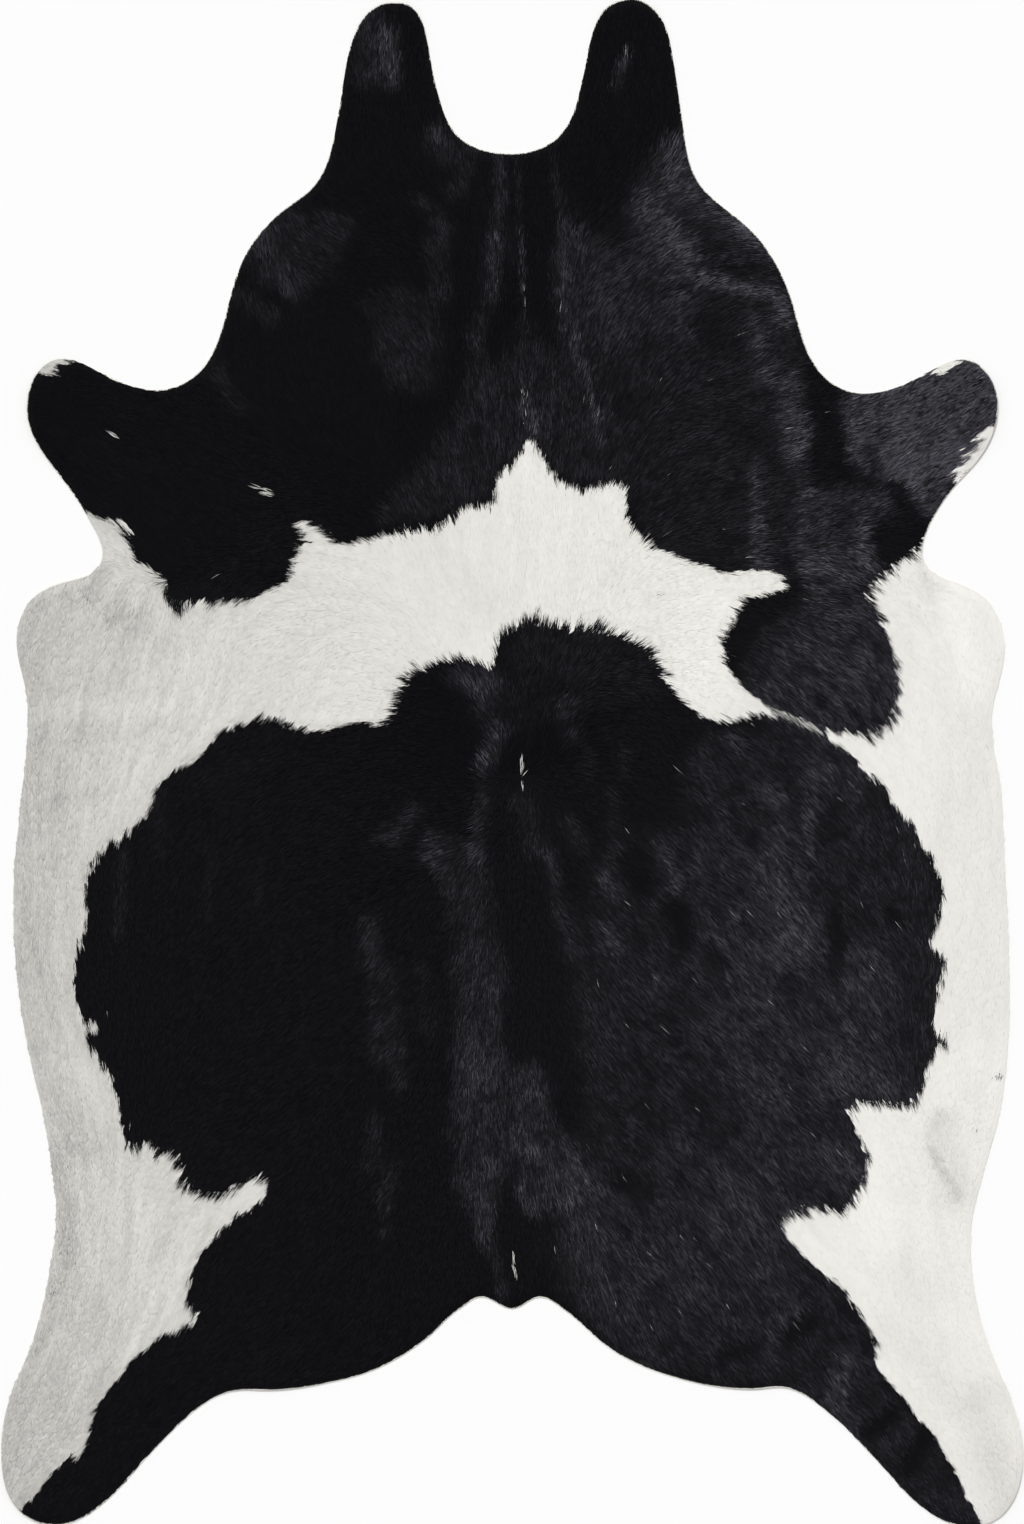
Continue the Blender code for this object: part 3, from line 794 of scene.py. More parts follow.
def eased(value, start, over):
    """A soft step from 0, where value is start, to 1, where it is over more than that."""
    return soft_step((value - start) / over)


def rim_line(steps):
    """The rim as points: between two landmarks a cubic curve whose handles lie along their headings
    and are chord / (3 cos^2(turn / 4)) long."""
    place = np.array([row[1:3] for row in RIM], float)
    heading = np.radians([row[3] for row in RIM])
    ahead = np.stack([np.cos(heading), np.sin(heading)], 1)
    there, ahead_there = np.roll(place, -1, 0), np.roll(ahead, -1, 0)
    turn = (np.roll(heading, -1) - heading + math.pi) % (2 * math.pi) - math.pi
    reach = np.hypot(*(there - place).T) / (3 * np.cos(turn / 4) ** 2)
    handles = (place, place + ahead * reach[:, None], there - ahead_there * reach[:, None], there)
    t = np.linspace(0, 1, steps, endpoint=False)[None, :, None]
    shares = ((1 - t) ** 3, 3 * t * (1 - t) ** 2, 3 * t * t * (1 - t), t**3)
    return sum(h[:, None, :] * s for h, s in zip(handles, shares)).reshape(-1, 2)


def round_line(corners, steps=10):
    """A closed line that runs smoothly through its corners: between two of them a cubic curve whose
    slopes are half the way from the corner before to the corner after."""
    here = np.array(corners, float)
    before, after, later = np.roll(here, 1, 0), np.roll(here, -1, 0), np.roll(here, -2, 0)
    t = np.linspace(0, 1, steps, endpoint=False)[None, :, None]
    parts = (
        2 * here[:, None],
        (after - before)[:, None] * t,
        (2 * before - 5 * here + 4 * after - later)[:, None] * t**2,
        (3 * here - before - 3 * after + later)[:, None] * t**3,
    )
    return (0.5 * sum(parts)).reshape(-1, 2)


def even_line(points, pitch=1.0):
    """The same closed line with its points a fixed way apart."""
    closed = np.concatenate([points, points[:1]])
    run = np.concatenate([[0], np.cumsum(np.hypot(*np.diff(closed, axis=0).T))])
    at = np.linspace(0, run[-1], int(run[-1] / pitch), endpoint=False)
    return np.stack([np.interp(at, run, closed[:, 0]), np.interp(at, run, closed[:, 1])], 1)


def grid(pitch):
    """The x and y of every node of a square grid over the hide."""
    x = np.arange(-WIDE, WIDE + pitch, pitch)
    y = np.arange(-LONG, LONG + pitch, pitch)
    return np.meshgrid(x, y)


def read(values, pitch, x, y):
    """A grid's value at x, y, in straight proportion between its nodes."""
    last = 1.001  # just short of the last node, so there is always a next one
    u = np.clip((x + WIDE) / pitch, 0, values.shape[1] - last)
    v = np.clip((y + LONG) / pitch, 0, values.shape[0] - last)
    i, j = u.astype(int), v.astype(int)
    u, v = u - i, v - j
    low = values[j, i] * (1 - u) + values[j, i + 1] * u
    high = values[j + 1, i] * (1 - u) + values[j + 1, i + 1] * u
    return low * (1 - v) + high * v


def depth_inside(line, reach):
    """How far each node of the line grid lies inside a closed line, less than 0 outside it, and no
    more than reach either way. Each point of the line writes its distance to the nodes round it;
    a node is inside if the line crosses its row an odd number of times to the left of it."""
    rows, columns = grid(LINE_PITCH)[0].shape
    line = even_line(line)
    near = int(reach / LINE_PITCH)
    step = np.arange(-near, near + 1)
    i = np.round((line[:, 0] + WIDE) / LINE_PITCH).astype(int)[:, None, None] + step[None, None, :]
    j = np.round((line[:, 1] + LONG) / LINE_PITCH).astype(int)[:, None, None] + step[None, :, None]
    i, j = np.clip(i, 0, columns - 1), np.clip(j, 0, rows - 1)
    away = (i * LINE_PITCH - WIDE - line[:, 0, None, None]) ** 2
    away = away + (j * LINE_PITCH - LONG - line[:, 1, None, None]) ** 2
    found = np.full(rows * columns, reach**2)
    np.minimum.at(found, (j * columns + i).ravel(), away.ravel())
    found = np.sqrt(found).reshape(rows, columns)

    there = np.roll(line, -1, 0)
    row_here = np.ceil((line[:, 1] + LONG) / LINE_PITCH).astype(int)
    row_there = np.ceil((there[:, 1] + LONG) / LINE_PITCH).astype(int)
    crosses = row_here != row_there
    row = np.minimum(row_here, row_there)[crosses]
    here, there = line[crosses], there[crosses]
    share = (row * LINE_PITCH - LONG - here[:, 1]) / (there[:, 1] - here[:, 1])
    cross_x = here[:, 0] + share * (there[:, 0] - here[:, 0])
    column = np.ceil((cross_x + WIDE) / LINE_PITCH).astype(int)
    turns = np.zeros((rows + 1, columns + 1), int)
    good = (row >= 0) & (row < rows)
    np.add.at(turns, (row[good], np.clip(column[good], 0, columns)), 1)
    inside = np.cumsum(turns, 1)[:rows, :columns] % 2 == 1  # an odd number of crossings
    return np.where(inside, found, -found)


def drift(x, y, size, seed):
    """Soft noise from -1 to 1 in blobs about size wide: seeded values at the corners of squares,
    blended with soft steps. The table of values repeats after 97 squares."""
    side = 97
    off = 500  # in squares, which keeps every place above 0
    table = np.random.default_rng(seed).uniform(-1, 1, (side, side))
    u, v = x / size + off, y / size + off
    i, j = np.floor(u).astype(int), np.floor(v).astype(int)
    u, v = soft_step(u - i), soft_step(v - j)
    i, j, right, up = i % side, j % side, (i + 1) % side, (j + 1) % side
    low = table[j, i] * (1 - u) + table[j, right] * u
    high = table[up, i] * (1 - u) + table[up, right] * u
    return low * (1 - v) + high * v


def layers(x, y, rows, start=0):
    """The sum of layers of soft noise, each times how much, on top of start."""
    return sum((much * drift(x, y, size, seed) for much, size, seed in rows), start)


def stroke_share(x, y, start, end, reach):
    """A soft stroke: (1 - (distance from the line start to end / reach)^2)^2, 0 past the reach."""
    run = (end[0] - start[0], end[1] - start[1])
    t = ((x - start[0]) * run[0] + (y - start[1]) * run[1]) / (run[0] ** 2 + run[1] ** 2 + 1e-9)
    t = np.clip(t, 0, 1)
    away = ((x - start[0] - t * run[0]) ** 2 + (y - start[1] - t * run[1]) ** 2) / reach**2
    return np.clip(1 - away, 0, 1) ** 2


# ---------------------------------------------------------------- how the hide lies


def thickness_share(x):
    """Share of the full thickness: most over the spine, least at the flanks, on a cosine."""
    away = np.clip(np.abs(x) / FLANK_REACH, 0, 1)
    return FLANK_THICK + (SPINE_THICK - FLANK_THICK) * 0.5 * (1 + np.cos(math.pi * away))


def roll_height(x, y, head, tail, bow, half_width, height):
    """A roll's height: height * cos^2 of the distance across it, tapered over its end thirds.

    t runs from 0 at the head end to 1 at the tail end, and the roll's middle line lies
    4 * bow * t * (1 - t) to the side of the straight line."""
    run_x = tail[0] - head[0]
    run_y = tail[1] - head[1]
    length = math.hypot(run_x, run_y)
    t = ((x - head[0]) * run_x + (y - head[1]) * run_y) / length**2
    side = ((x - head[0]) * -run_y + (y - head[1]) * run_x) / length
    side = side - 4 * bow * t * (1 - t)
    across = np.cos(0.5 * math.pi * np.clip(side / half_width, -1, 1)) ** 2
    ends = np.clip(np.minimum(t, 1 - t) * 3, 0, 1)
    return height * across * ends**2 * (3 - 2 * ends)


def curl_height(x, y, centre, radius, rise):
    """A curl's height: rise * cos^2 of the distance from its centre, zero past the radius."""
    away = np.hypot(x - centre[0], y - centre[1]) / radius
    return rise * np.cos(0.5 * math.pi * np.clip(away, 0, 1)) ** 2


def lift(x, y):
    """How far the hide's underside is off the floor at x, y, all in millimetres."""
    rolls = sum(roll_height(x, y, *row[1:]) for row in ROLLS)
    curls = sum(curl_height(x, y, *row[1:]) for row in CURLS)
    return rolls + curls


def skin_top(x, y, depth, pile_share):
    """The height of a surface in the coat: the lift, and the skin with a share of the pile, which
    grows from nothing at the rim to its full height RIM_SLOPE further in."""
    grown = np.clip(depth / RIM_SLOPE, 0, 1)
    return lift(x, y) + (SKIN + PILE * pile_share * grown) * thickness_share(x)


# ---------------------------------------------------------------- hair direction, shine, patches


def comb_grid():
    """The way the hair grows at every node of the slow grid, as the x and y of a unit arrow: each
    straight run of each stroke pulls with its length / (distance^2 + COMB_REACH^2)^2."""
    x, y = grid(SLOW_PITCH)
    pull_x, pull_y = np.zeros_like(x), np.zeros_like(y)
    for _, points in COMB:
        for start, end in zip(points[:-1], points[1:]):
            run_x, run_y = end[0] - start[0], end[1] - start[1]
            length = math.hypot(run_x, run_y)
            t = np.clip(((x - start[0]) * run_x + (y - start[1]) * run_y) / length**2, 0, 1)
            away = (x - start[0] - t * run_x) ** 2 + (y - start[1] - t * run_y) ** 2
            pull = 1 / (away + COMB_REACH**2) ** 2
            pull_x, pull_y = pull_x + pull * run_x, pull_y + pull * run_y
    size = np.hypot(pull_x, pull_y) + 1e-20
    return pull_x / size, pull_y / size


def shine_grid():
    """How much painted sheen the black coat's colour takes at every node of the shine grid: the wide
    areas, each eased in over its soft edge, and the soft strokes on top of them. Noise pushes the
    places about, which makes them ragged; a narrow stroke is pushed less, so it stays whole."""
    x, y = grid(SHINE_PITCH)
    push_x, push_y = layers(x, y, PUSH_ACROSS), layers(x, y, PUSH_ALONG)
    shine = np.zeros_like(x)
    for _, much, soft, outline in SHINE_AREAS:
        edge = depth_inside(round_line(outline), 2.0 * soft)
        depth = read(edge, LINE_PITCH, x + push_x, y + push_y)
        shine = shine + much * soft_step(depth / (2 * soft) + 0.5)
    for _, start, end, reach, much in SHINE:
        pushed = min(1.0, reach / PUSH_WHOLE)
        stroke = stroke_share(x + pushed * push_x, y + pushed * push_y, start, end, reach)
        shine = shine + much * stroke
    return shine


def shade_grid():
    """Painted shade on the white coat, as the share of light that is missing, at every node of the
    shine grid: it falls from the left flank to the middle, and the soft strokes are added. Noise
    pushes the places about a little."""
    x, y = grid(SHINE_PITCH)
    x, y = x + layers(x, y, SHADE_ACROSS), y + layers(x, y, SHADE_ALONG)
    shade = SHADE_BASE + SHADE_LEFT * (1 - eased(x, *SHADE_FALL))
    shade = shade + SHADE_FAR_LEFT * (1 - eased(x, *SHADE_FAR_FALL))
    for _, start, end, reach, much in SHADE:
        shade = shade + much * stroke_share(x, y, start, end, reach)
    return np.clip(shade, 0, 1)


def streak_grid(comb_x, comb_y, width, run, seed):
    """Noise drawn out along the hair: the sum of soft noise along the way the hair grows, followed
    for a run both ways from every node of the streak grid, over the spread of that sum."""
    x, y = grid(STREAK_PITCH)
    total = drift(x, y, width, seed)
    for way in (width, -width):
        at_x, at_y = x, y
        for _ in range(int(run / width)):
            step_x = read(comb_x, SLOW_PITCH, at_x, at_y)
            step_y = read(comb_y, SLOW_PITCH, at_x, at_y)
            size = way / (np.hypot(step_x, step_y) + 1e-6)
            at_x, at_y = at_x + size * step_x, at_y + size * step_y
            total = total + drift(at_x, at_y, width, seed)
    return total / total.std()


class Hide:
    """Everything that both the sheet and the coat read: distances, directions, patches, and the
    painted sheen and shade.
    """

    def __init__(self):
        self.rim = depth_inside(rim_line(40), RIM_KNOWN)
        neck = depth_inside(round_line(NECK_PATCH), PATCH_KNOWN)
        back = depth_inside(round_line(BACK_PATCH), PATCH_KNOWN)
        self.black = np.maximum(neck, back)
        self.comb_x, self.comb_y = comb_grid()
        self.fine_streaks = streak_grid(self.comb_x, self.comb_y, *FINE_STREAKS)
        self.broad_streaks = streak_grid(self.comb_x, self.comb_y, *BROAD_STREAKS)
        self.shine = shine_grid()
        self.shade = shade_grid()

    def depth(self, x, y):
        """How far x, y lies in from the rim."""
        return read(self.rim, LINE_PITCH, x, y)

    def patches(self, x, y):
        """How far x, y lies inside the black patches, less than 0 outside them."""
        return read(self.black, LINE_PITCH, x, y)

    def heading(self, x, y):
        """The direction of growth, as an angle."""
        comb_x = read(self.comb_x, SLOW_PITCH, x, y)
        comb_y = read(self.comb_y, SLOW_PITCH, x, y)
        return np.arctan2(comb_y, comb_x)

    def inward(self, x, y):
        """The way straight in from the rim, as unit arrows: the slope of the depth over its size."""
        slope_x = self.depth(x + LINE_PITCH, y) - self.depth(x - LINE_PITCH, y)
        slope_y = self.depth(x, y + LINE_PITCH) - self.depth(x, y - LINE_PITCH)
        size = np.hypot(slope_x, slope_y) + 1e-9
        return np.stack([slope_x / size, slope_y / size], 1)

    def facing_tail(self, x, y):
        """1 near a rim that faces the tail end, 0 near one that faces the sides or the head."""
        return np.clip(self.inward(x, y)[:, 1], 0, 1)

    def coat_top(self, points, pile_share):
        """The height of a surface in the coat at each point. Each crease sinks it by its depth times
        its soft stroke, and less so near the rim."""
        x, y = points.T
        depth = self.depth(x, y)
        sunk = sum(
            deep * stroke_share(x, y, start, end, reach) for _, start, end, reach, deep in CREASES
        )
        return skin_top(x, y, depth, pile_share) - sunk * np.clip(depth / CREASE_RIM, 0, 1)

    def shines(self, x, y):
        """How much painted sheen the black coat's colour takes at x, y."""
        return read(self.shine, SHINE_PITCH, x, y)

    def shades(self, x, y):
        """The painted shade on the white coat at x, y, as the share of light that it lacks."""
        return read(self.shade, SHINE_PITCH, x, y)


# ---------------------------------------------------------------- materials


def feed(tree, socket, value):
    """Links an input to an output, or sets it to a plain value."""
    if isinstance(value, bpy.types.NodeSocket):
        tree.links.new(value, socket)
    else:
        socket.default_value = value


def node(tree, kind, inputs, settings=None):
    """A node with its inputs by name or number, and its settings."""
    made = tree.nodes.new(kind)
    for name, value in (settings or {}).items():
        setattr(made, name, value)
    for name, value in inputs.items():
        feed(tree, made.inputs[name], value)
    return made


def mix_colours(tree, share, low, high):
    """The colour low + share * (high - low)."""
    return node(tree, "ShaderNodeMix", {0: share, 6: low, 7: high}, {"data_type": "RGBA"}).outputs[2]


def work_out(tree, operation, *values, clamp=False):
    """A number worked out from others."""
    inputs = dict(enumerate(values))
    return node(tree, "ShaderNodeMath", inputs, {"operation": operation, "use_clamp": clamp}).outputs[0]


def noise(tree, place, scale, detail, roughness=0.5):
    """Soft noise about 0.5."""
    inputs = {"Vector": place, "Scale": scale, "Detail": detail, "Roughness": roughness}
    return node(tree, "ShaderNodeTexNoise", inputs).outputs["Fac"]


def set_out(tree, value, low, high):
    """low + value * (high - low)."""
    inputs = {"Value": value, "To Min": low, "To Max": high}
    return node(tree, "ShaderNodeMapRange", inputs).outputs[0]


def group_with(name, inputs, outputs):
    """An empty node group with inputs by name and kind, and plain numbers as outputs: its tree, its
    input node and its output node."""
    tree = bpy.data.node_groups.new(name, "ShaderNodeTree")
    for label, kind in inputs.items():
        tree.interface.new_socket(label, in_out="INPUT", socket_type="NodeSocket" + kind)
    for label in outputs:
        tree.interface.new_socket(label, in_out="OUTPUT", socket_type="NodeSocketFloat")
    return tree, tree.nodes.new("NodeGroupInput"), tree.nodes.new("NodeGroupOutput")


def new_material(name):
    """A material, as itself, its tree and its shader."""
    material = bpy.data.materials.new(name)
    material.use_nodes = True
    return material, material.node_tree, material.node_tree.nodes["Principled BSDF"]


def finish(tree, shader, colour, height, bump, roughness, specular):
    """Colour, a bump (strength, height in metres) and a roughness (least, most) that both follow
    one height, and a plain specular level on the shader itself."""
    strength, distance = bump
    relief = node(
        tree, "ShaderNodeBump", {"Height": height, "Strength": strength, "Distance": distance},
    )
    feed(tree, shader.inputs["Base Color"], colour)
    feed(tree, shader.inputs["Normal"], relief.outputs[0])
    feed(tree, shader.inputs["Roughness"], set_out(tree, height, *roughness))
    shader.inputs["Specular IOR Level"].default_value = specular


def fine_hair_group():
    """Single hairs inside a lock: noise that is stretched along the lock and differs from lock to
    lock, as a height, and a share of light: a painted shade that is deepest at the roots, with locks
    and hairs that differ by chance. The lock's painted sheen or shade is passed on."""
    tree, given, result = group_with(
        "fine hair in a lock",
        {"Lock": "Color", "Across": "Float", "Unevenness": "Float"},
        ("Height", "Light", "Sheen or shade"),
    )
    hairs_across, hairs_along = 5.0, 1.6
    apart_x, apart_z = 40.0, 97.0
    # Light at the root and at the tip (a painted shade at the foot of each lock), how much single hairs
    # differ, and the usual light
    at_root, at_tip, hair_contrast, usual_light = -0.5, 0.2, 4.5, 0.8
    parts = node(tree, "ShaderNodeSeparateColor", {"Color": given.outputs["Lock"]})
    sheen_or_shade, along, chance = parts.outputs[0], parts.outputs[1], parts.outputs[2]
    across = work_out(tree, "MULTIPLY", given.outputs["Across"], hairs_across)
    place = node(tree, "ShaderNodeCombineXYZ", {
        "X": work_out(tree, "MULTIPLY_ADD", chance, apart_x, across),
        "Y": work_out(tree, "MULTIPLY", along, hairs_along),
        "Z": work_out(tree, "MULTIPLY", chance, apart_z),
    })
    hairs = noise(tree, place.outputs[0], 1.0, 2.0, 0.6)
    painted_root_shade = set_out(tree, along, at_root, at_tip)
    by_lock = work_out(tree, "SUBTRACT", chance, 0.5)
    by_hair = work_out(tree, "MULTIPLY", work_out(tree, "SUBTRACT", hairs, 0.5), hair_contrast)
    change = work_out(tree, "ADD", painted_root_shade, work_out(tree, "ADD", by_lock, by_hair))
    uneven = given.outputs["Unevenness"]
    light = work_out(tree, "MULTIPLY_ADD", change, uneven, usual_light, clamp=True)
    feed(tree, result.inputs["Height"], hairs)
    feed(tree, result.inputs["Light"], light)
    feed(tree, result.inputs["Sheen or shade"], sheen_or_shade)
    return tree


def coat_material(name, hair_group, unevenness, root, tip, sheen_or_shade_colour, specular, roughness):
    """Hair: the root's colour, a painted shade, darkens the foot of each lock, the tip's colour lies
    over it, and the lock's painted sheen (on black) or painted shade (on white) takes it towards a
    third colour."""
    material, tree, shader = new_material(name)
    lock = node(tree, "ShaderNodeAttribute", {}, {"attribute_name": "lock"})
    hair = node(tree, "ShaderNodeGroup", {}, {"node_tree": hair_group})
    feed(tree, hair.inputs["Lock"], lock.outputs["Color"])
    feed(tree, hair.inputs["Across"], lock.outputs["Alpha"])
    feed(tree, hair.inputs["Unevenness"], unevenness)
    light = hair.outputs["Light"]
    # The painted sheen or shade is darkened at the roots as well
    toned_light = work_out(tree, "MULTIPLY_ADD", light, 1.1, -0.1, clamp=True)
    sheen_or_shade_colour = mix_colours(tree, toned_light, root, sheen_or_shade_colour)
    colour = mix_colours(tree, hair.outputs["Sheen or shade"], mix_colours(tree, light, root, tip), sheen_or_shade_colour)
    between = (roughness - 0.08, roughness + 0.12)
    finish(tree, shader, colour, hair.outputs["Height"], (0.4, 0.0005), between, specular)
    return material


def leather_grain_group():
    """The fibres of cut or sueded leather: fine noise in two sizes, as a height and a mask."""
    tree, given, result = group_with("leather fibres", {"Place": "Vector"}, ("Height", "Blotches"))
    feed(tree, result.inputs["Height"], noise(tree, given.outputs["Place"], 1400.0, 4.0))
    feed(tree, result.inputs["Blotches"], noise(tree, given.outputs["Place"], 9.0, 5.0))
    return tree


def leather_material(name, grain_group, dark, light, roughness, bump_height):
    """Leather that goes from dark to light in blotches, with its fibres as a fine bump."""
    material, tree, shader = new_material(name)
    place = node(tree, "ShaderNodeTexCoord", {})
    grain = node(tree, "ShaderNodeGroup", {}, {"node_tree": grain_group})
    feed(tree, grain.inputs["Place"], place.outputs["Object"])
    colour = mix_colours(tree, grain.outputs["Blotches"], dark, light)
    between = (roughness - 0.1, roughness + 0.08)
    finish(tree, shader, colour, grain.outputs["Height"], (0.5, bump_height), between, 0.2)
    return material


def undercoat_material():
    """The dense short hair under the locks: black or white by the "undercoat" attribute (how black,
    painted shade, painted sheen), with fine noise across it."""
    material, tree, shader = new_material("undercoat")
    under = node(tree, "ShaderNodeAttribute", {}, {"attribute_name": "undercoat"})
    parts = node(tree, "ShaderNodeSeparateColor", {"Color": under.outputs["Color"]})
    blackness, shade, shine = parts.outputs[0], parts.outputs[1], parts.outputs[2]
    fuzz = noise(tree, node(tree, "ShaderNodeTexCoord", {}).outputs["Object"], 650.0, 4.0)
    edge = work_out(tree, "MULTIPLY", work_out(tree, "SUBTRACT", blackness, 0.5), 6.0)
    edge = work_out(tree, "ADD", edge, fuzz)
    # Painted shade on the white undercoat, painted sheen on the black
    white = mix_colours(tree, shade, mix_colours(tree, fuzz, *WHITE_UNDER), SHADOW)
    black = mix_colours(tree, shine, mix_colours(tree, fuzz, *BLACK_UNDER), UNDER_PAINTED_SHEEN)
    sharp = node(tree, "ShaderNodeMapRange", {"Value": edge, "From Min": 0.2, "From Max": 0.8})
    colour = mix_colours(tree, sharp.outputs[0], white, black)
    finish(tree, shader, colour, fuzz, (0.6, 0.001), (0.7, 0.95), 0.05)
    return material


# ---------------------------------------------------------------- meshes


def mesh_object(name, points, faces_3, faces_4, slots, materials):
    """A mesh object from points in millimetres, triangles and four-sided faces, and their slots."""
    mesh = bpy.data.meshes.new(name)
    mesh.vertices.add(len(points))
    mesh.vertices.foreach_set("co", (points * MM).astype(np.float32).ravel())
    corners = np.concatenate([faces_3.ravel(), faces_4.ravel()]).astype(np.int32)
    starts = np.concatenate([
        np.arange(len(faces_3)) * 3, len(faces_3) * 3 + np.arange(len(faces_4)) * 4,
    ]).astype(np.int32)
    mesh.loops.add(len(corners))
    mesh.loops.foreach_set("vertex_index", corners)
    mesh.polygons.add(len(starts))
    mesh.polygons.foreach_set("loop_start", starts)
    mesh.polygons.foreach_set("material_index", slots.astype(np.int32))
    for material in materials:
        mesh.materials.append(material)
    mesh.update(calc_edges=True)
    mesh.validate()
    mesh.shade_smooth()
    thing = bpy.data.objects.new(name, mesh)
    bpy.context.scene.collection.objects.link(thing)
    return thing


def paint(mesh, name, values):
    """A colour attribute, three or four numbers for each point."""
    layer = mesh.color_attributes.new(name, "FLOAT_COLOR", "POINT")
    full = np.ones((len(values), 4), np.float32)
    full[:, :values.shape[1]] = values
    layer.data.foreach_set("color", full.ravel())


def lay_out(mesh, places):
    """The map for baking, one place for each point."""
    layer = mesh.uv_layers.new(name="OFBake")
    corner = np.empty(len(mesh.loops), np.int32)
    mesh.loops.foreach_get("vertex_index", corner)
    layer.data.foreach_set("uv", places[corner].astype(np.float32).ravel())


def cut_cells(level):
    """The squares of the sheet's grid cut off along the line where level is 0, which keeps what is
    above 0: (x and y of each point, faces of three, faces of four, and the pairs of points that lie
    on the cut, in order with the sheet on their left).

    Each corner that is kept and each crossing of a square's side is one point. A square's face goes
    round it and takes the kept corners and the crossings, and it is split into triangles from its
    first point where it has other than four."""
    rows, columns = level.shape
    x, y = grid(SHEET_PITCH)
    kept = level > 0
    corner_id = np.full(level.shape, -1)
    corner_id[kept] = np.arange(kept.sum())
    places = [np.stack([x[kept], y[kept]], 1)]
    count = int(kept.sum())
    side_ids = []
    for right, up in ((1, 0), (0, 1)):
        a = (slice(0, rows - up), slice(0, columns - right))
        b = (slice(up, rows), slice(right, columns))
        cut = kept[a] != kept[b]
        share = (level[a] / (level[a] - level[b] + 1e-12))[cut]
        share = np.clip(share, 0.02, 0.98)
        ids = np.full(cut.shape, -1)
        ids[cut] = count + np.arange(cut.sum())
        count += int(cut.sum())
        places.append(np.stack([
            x[a][cut] + share * SHEET_PITCH * right, y[a][cut] + share * SHEET_PITCH * up,
        ], 1))
        side_ids.append(ids)
    across, along = side_ids
    corner = (corner_id[:-1, :-1], corner_id[:-1, 1:], corner_id[1:, 1:], corner_id[1:, :-1])
    side = (across[:-1], along[:, 1:], across[1:], along[:, :-1])
    case = sum((c >= 0).astype(int) << k for k, c in enumerate(corner))
    threes, fours, cuts = [], [], []
    for kind in range(1, 16):
        here = case == kind
        if not here.any():
            continue
        ring, is_side = [], []
        for k in range(4):
            inside, inside_next = kind >> k & 1, kind >> (k + 1) % 4 & 1
            if inside:
                ring.append(corner[k][here])
                is_side.append(False)
            if inside != inside_next:
                ring.append(side[k][here])
                is_side.append(True)
        if len(ring) == 4:
            fours.append(np.stack(ring, 1))
        else:
            for k in range(1, len(ring) - 1):
                threes.append(np.stack([ring[0], ring[k], ring[k + 1]], 1))
        for k in range(len(ring)):
            after = (k + 1) % len(ring)
            if is_side[k] and is_side[after]:
                cuts.append(np.stack([ring[k], ring[after]], 1))
    return tuple(np.concatenate(part) for part in (places, threes, fours, cuts))


def hide_sheet(hide, materials):
    """The skin with the short dense hair on it, as one closed sheet. Top and underside are the same
    cut grid. A ledge of bare leather runs from its cut line to the rim, and the cut edge stands
    below it."""
    flat, threes, fours, cuts = cut_cells(hide.depth(*grid(SHEET_PITCH)) - LEDGE)
    on_cut = np.unique(cuts)
    renumber = np.full(len(flat), -1)
    renumber[on_cut] = np.arange(len(on_cut))
    a, b = renumber[cuts].T
    inner = flat[on_cut]
    outward = -hide.inward(*inner.T)
    outer = inner + outward * hide.depth(*inner.T)[:, None]

    white = soft_step(0.5 - hide.patches(*flat.T) / UNDERCOAT_BLEND)
    undercoat = UNDERCOAT + (WHITE_UNDERCOAT - UNDERCOAT) * white
    floor_gap = lift(*outer.T)
    thick = thickness_share(outer[:, 0])
    points = np.concatenate([
        np.column_stack([flat, hide.coat_top(flat, undercoat)]),
        np.column_stack([flat, lift(*flat.T)]),
        np.column_stack([outer - outward * EDGE_TUCK, floor_gap]),
        np.column_stack([outer, floor_gap + (SKIN - EDGE_ROUND) * thick]),
        np.column_stack([outer - outward * EDGE_ROUND, floor_gap + SKIN * thick]),
    ])
    n, m = len(flat), len(outer)
    low, high, ledge = 2 * n, 2 * n + m, 2 * n + 2 * m
    top_a, top_b = on_cut[a], on_cut[b]
    strips = [
        np.stack([top_b, top_a, ledge + a, ledge + b], 1),
        np.stack([ledge + b, ledge + a, high + a, high + b], 1),
        np.stack([high + b, high + a, low + a, low + b], 1),
        np.stack([low + b, low + a, n + top_a, n + top_b], 1),
    ]
    faces_3 = np.concatenate([threes, threes[:, ::-1] + n])
    faces_4 = np.concatenate([fours, fours[:, ::-1] + n] + strips)
    slots = np.repeat([0, 1, 0, 1, 2, 1], [
        len(threes), len(threes), len(fours), len(fours), 3 * len(a), len(a),
    ])
    sheet = mesh_object("hide_sheet", points, faces_3, faces_4, slots, materials)

    x, y = points[:, 0], points[:, 1]
    # How black it is, the painted shade of the white coat, and the painted sheen of the black
    paint(sheet.data, "undercoat", np.column_stack([
        np.clip(0.5 + hide.patches(x, y) / UNDERCOAT_BLEND, 0, 1),
        hide.shades(x, y),
        np.clip(hide.shines(x, y), 0, 1) ** SHINE_CURVE,
    ]))

    # In the map the top takes the left half and the underside the right half
    place = np.concatenate([flat, flat, outer + outward * MAP_FOOT, outer + outward * MAP_TOP, outer])
    place = (place + (WIDE, LONG)) * (0.5 / (2 * WIDE)) + (0, 0.1)
    place[n:2 * n, 0] += 0.5
    lay_out(sheet.data, place)
    return sheet


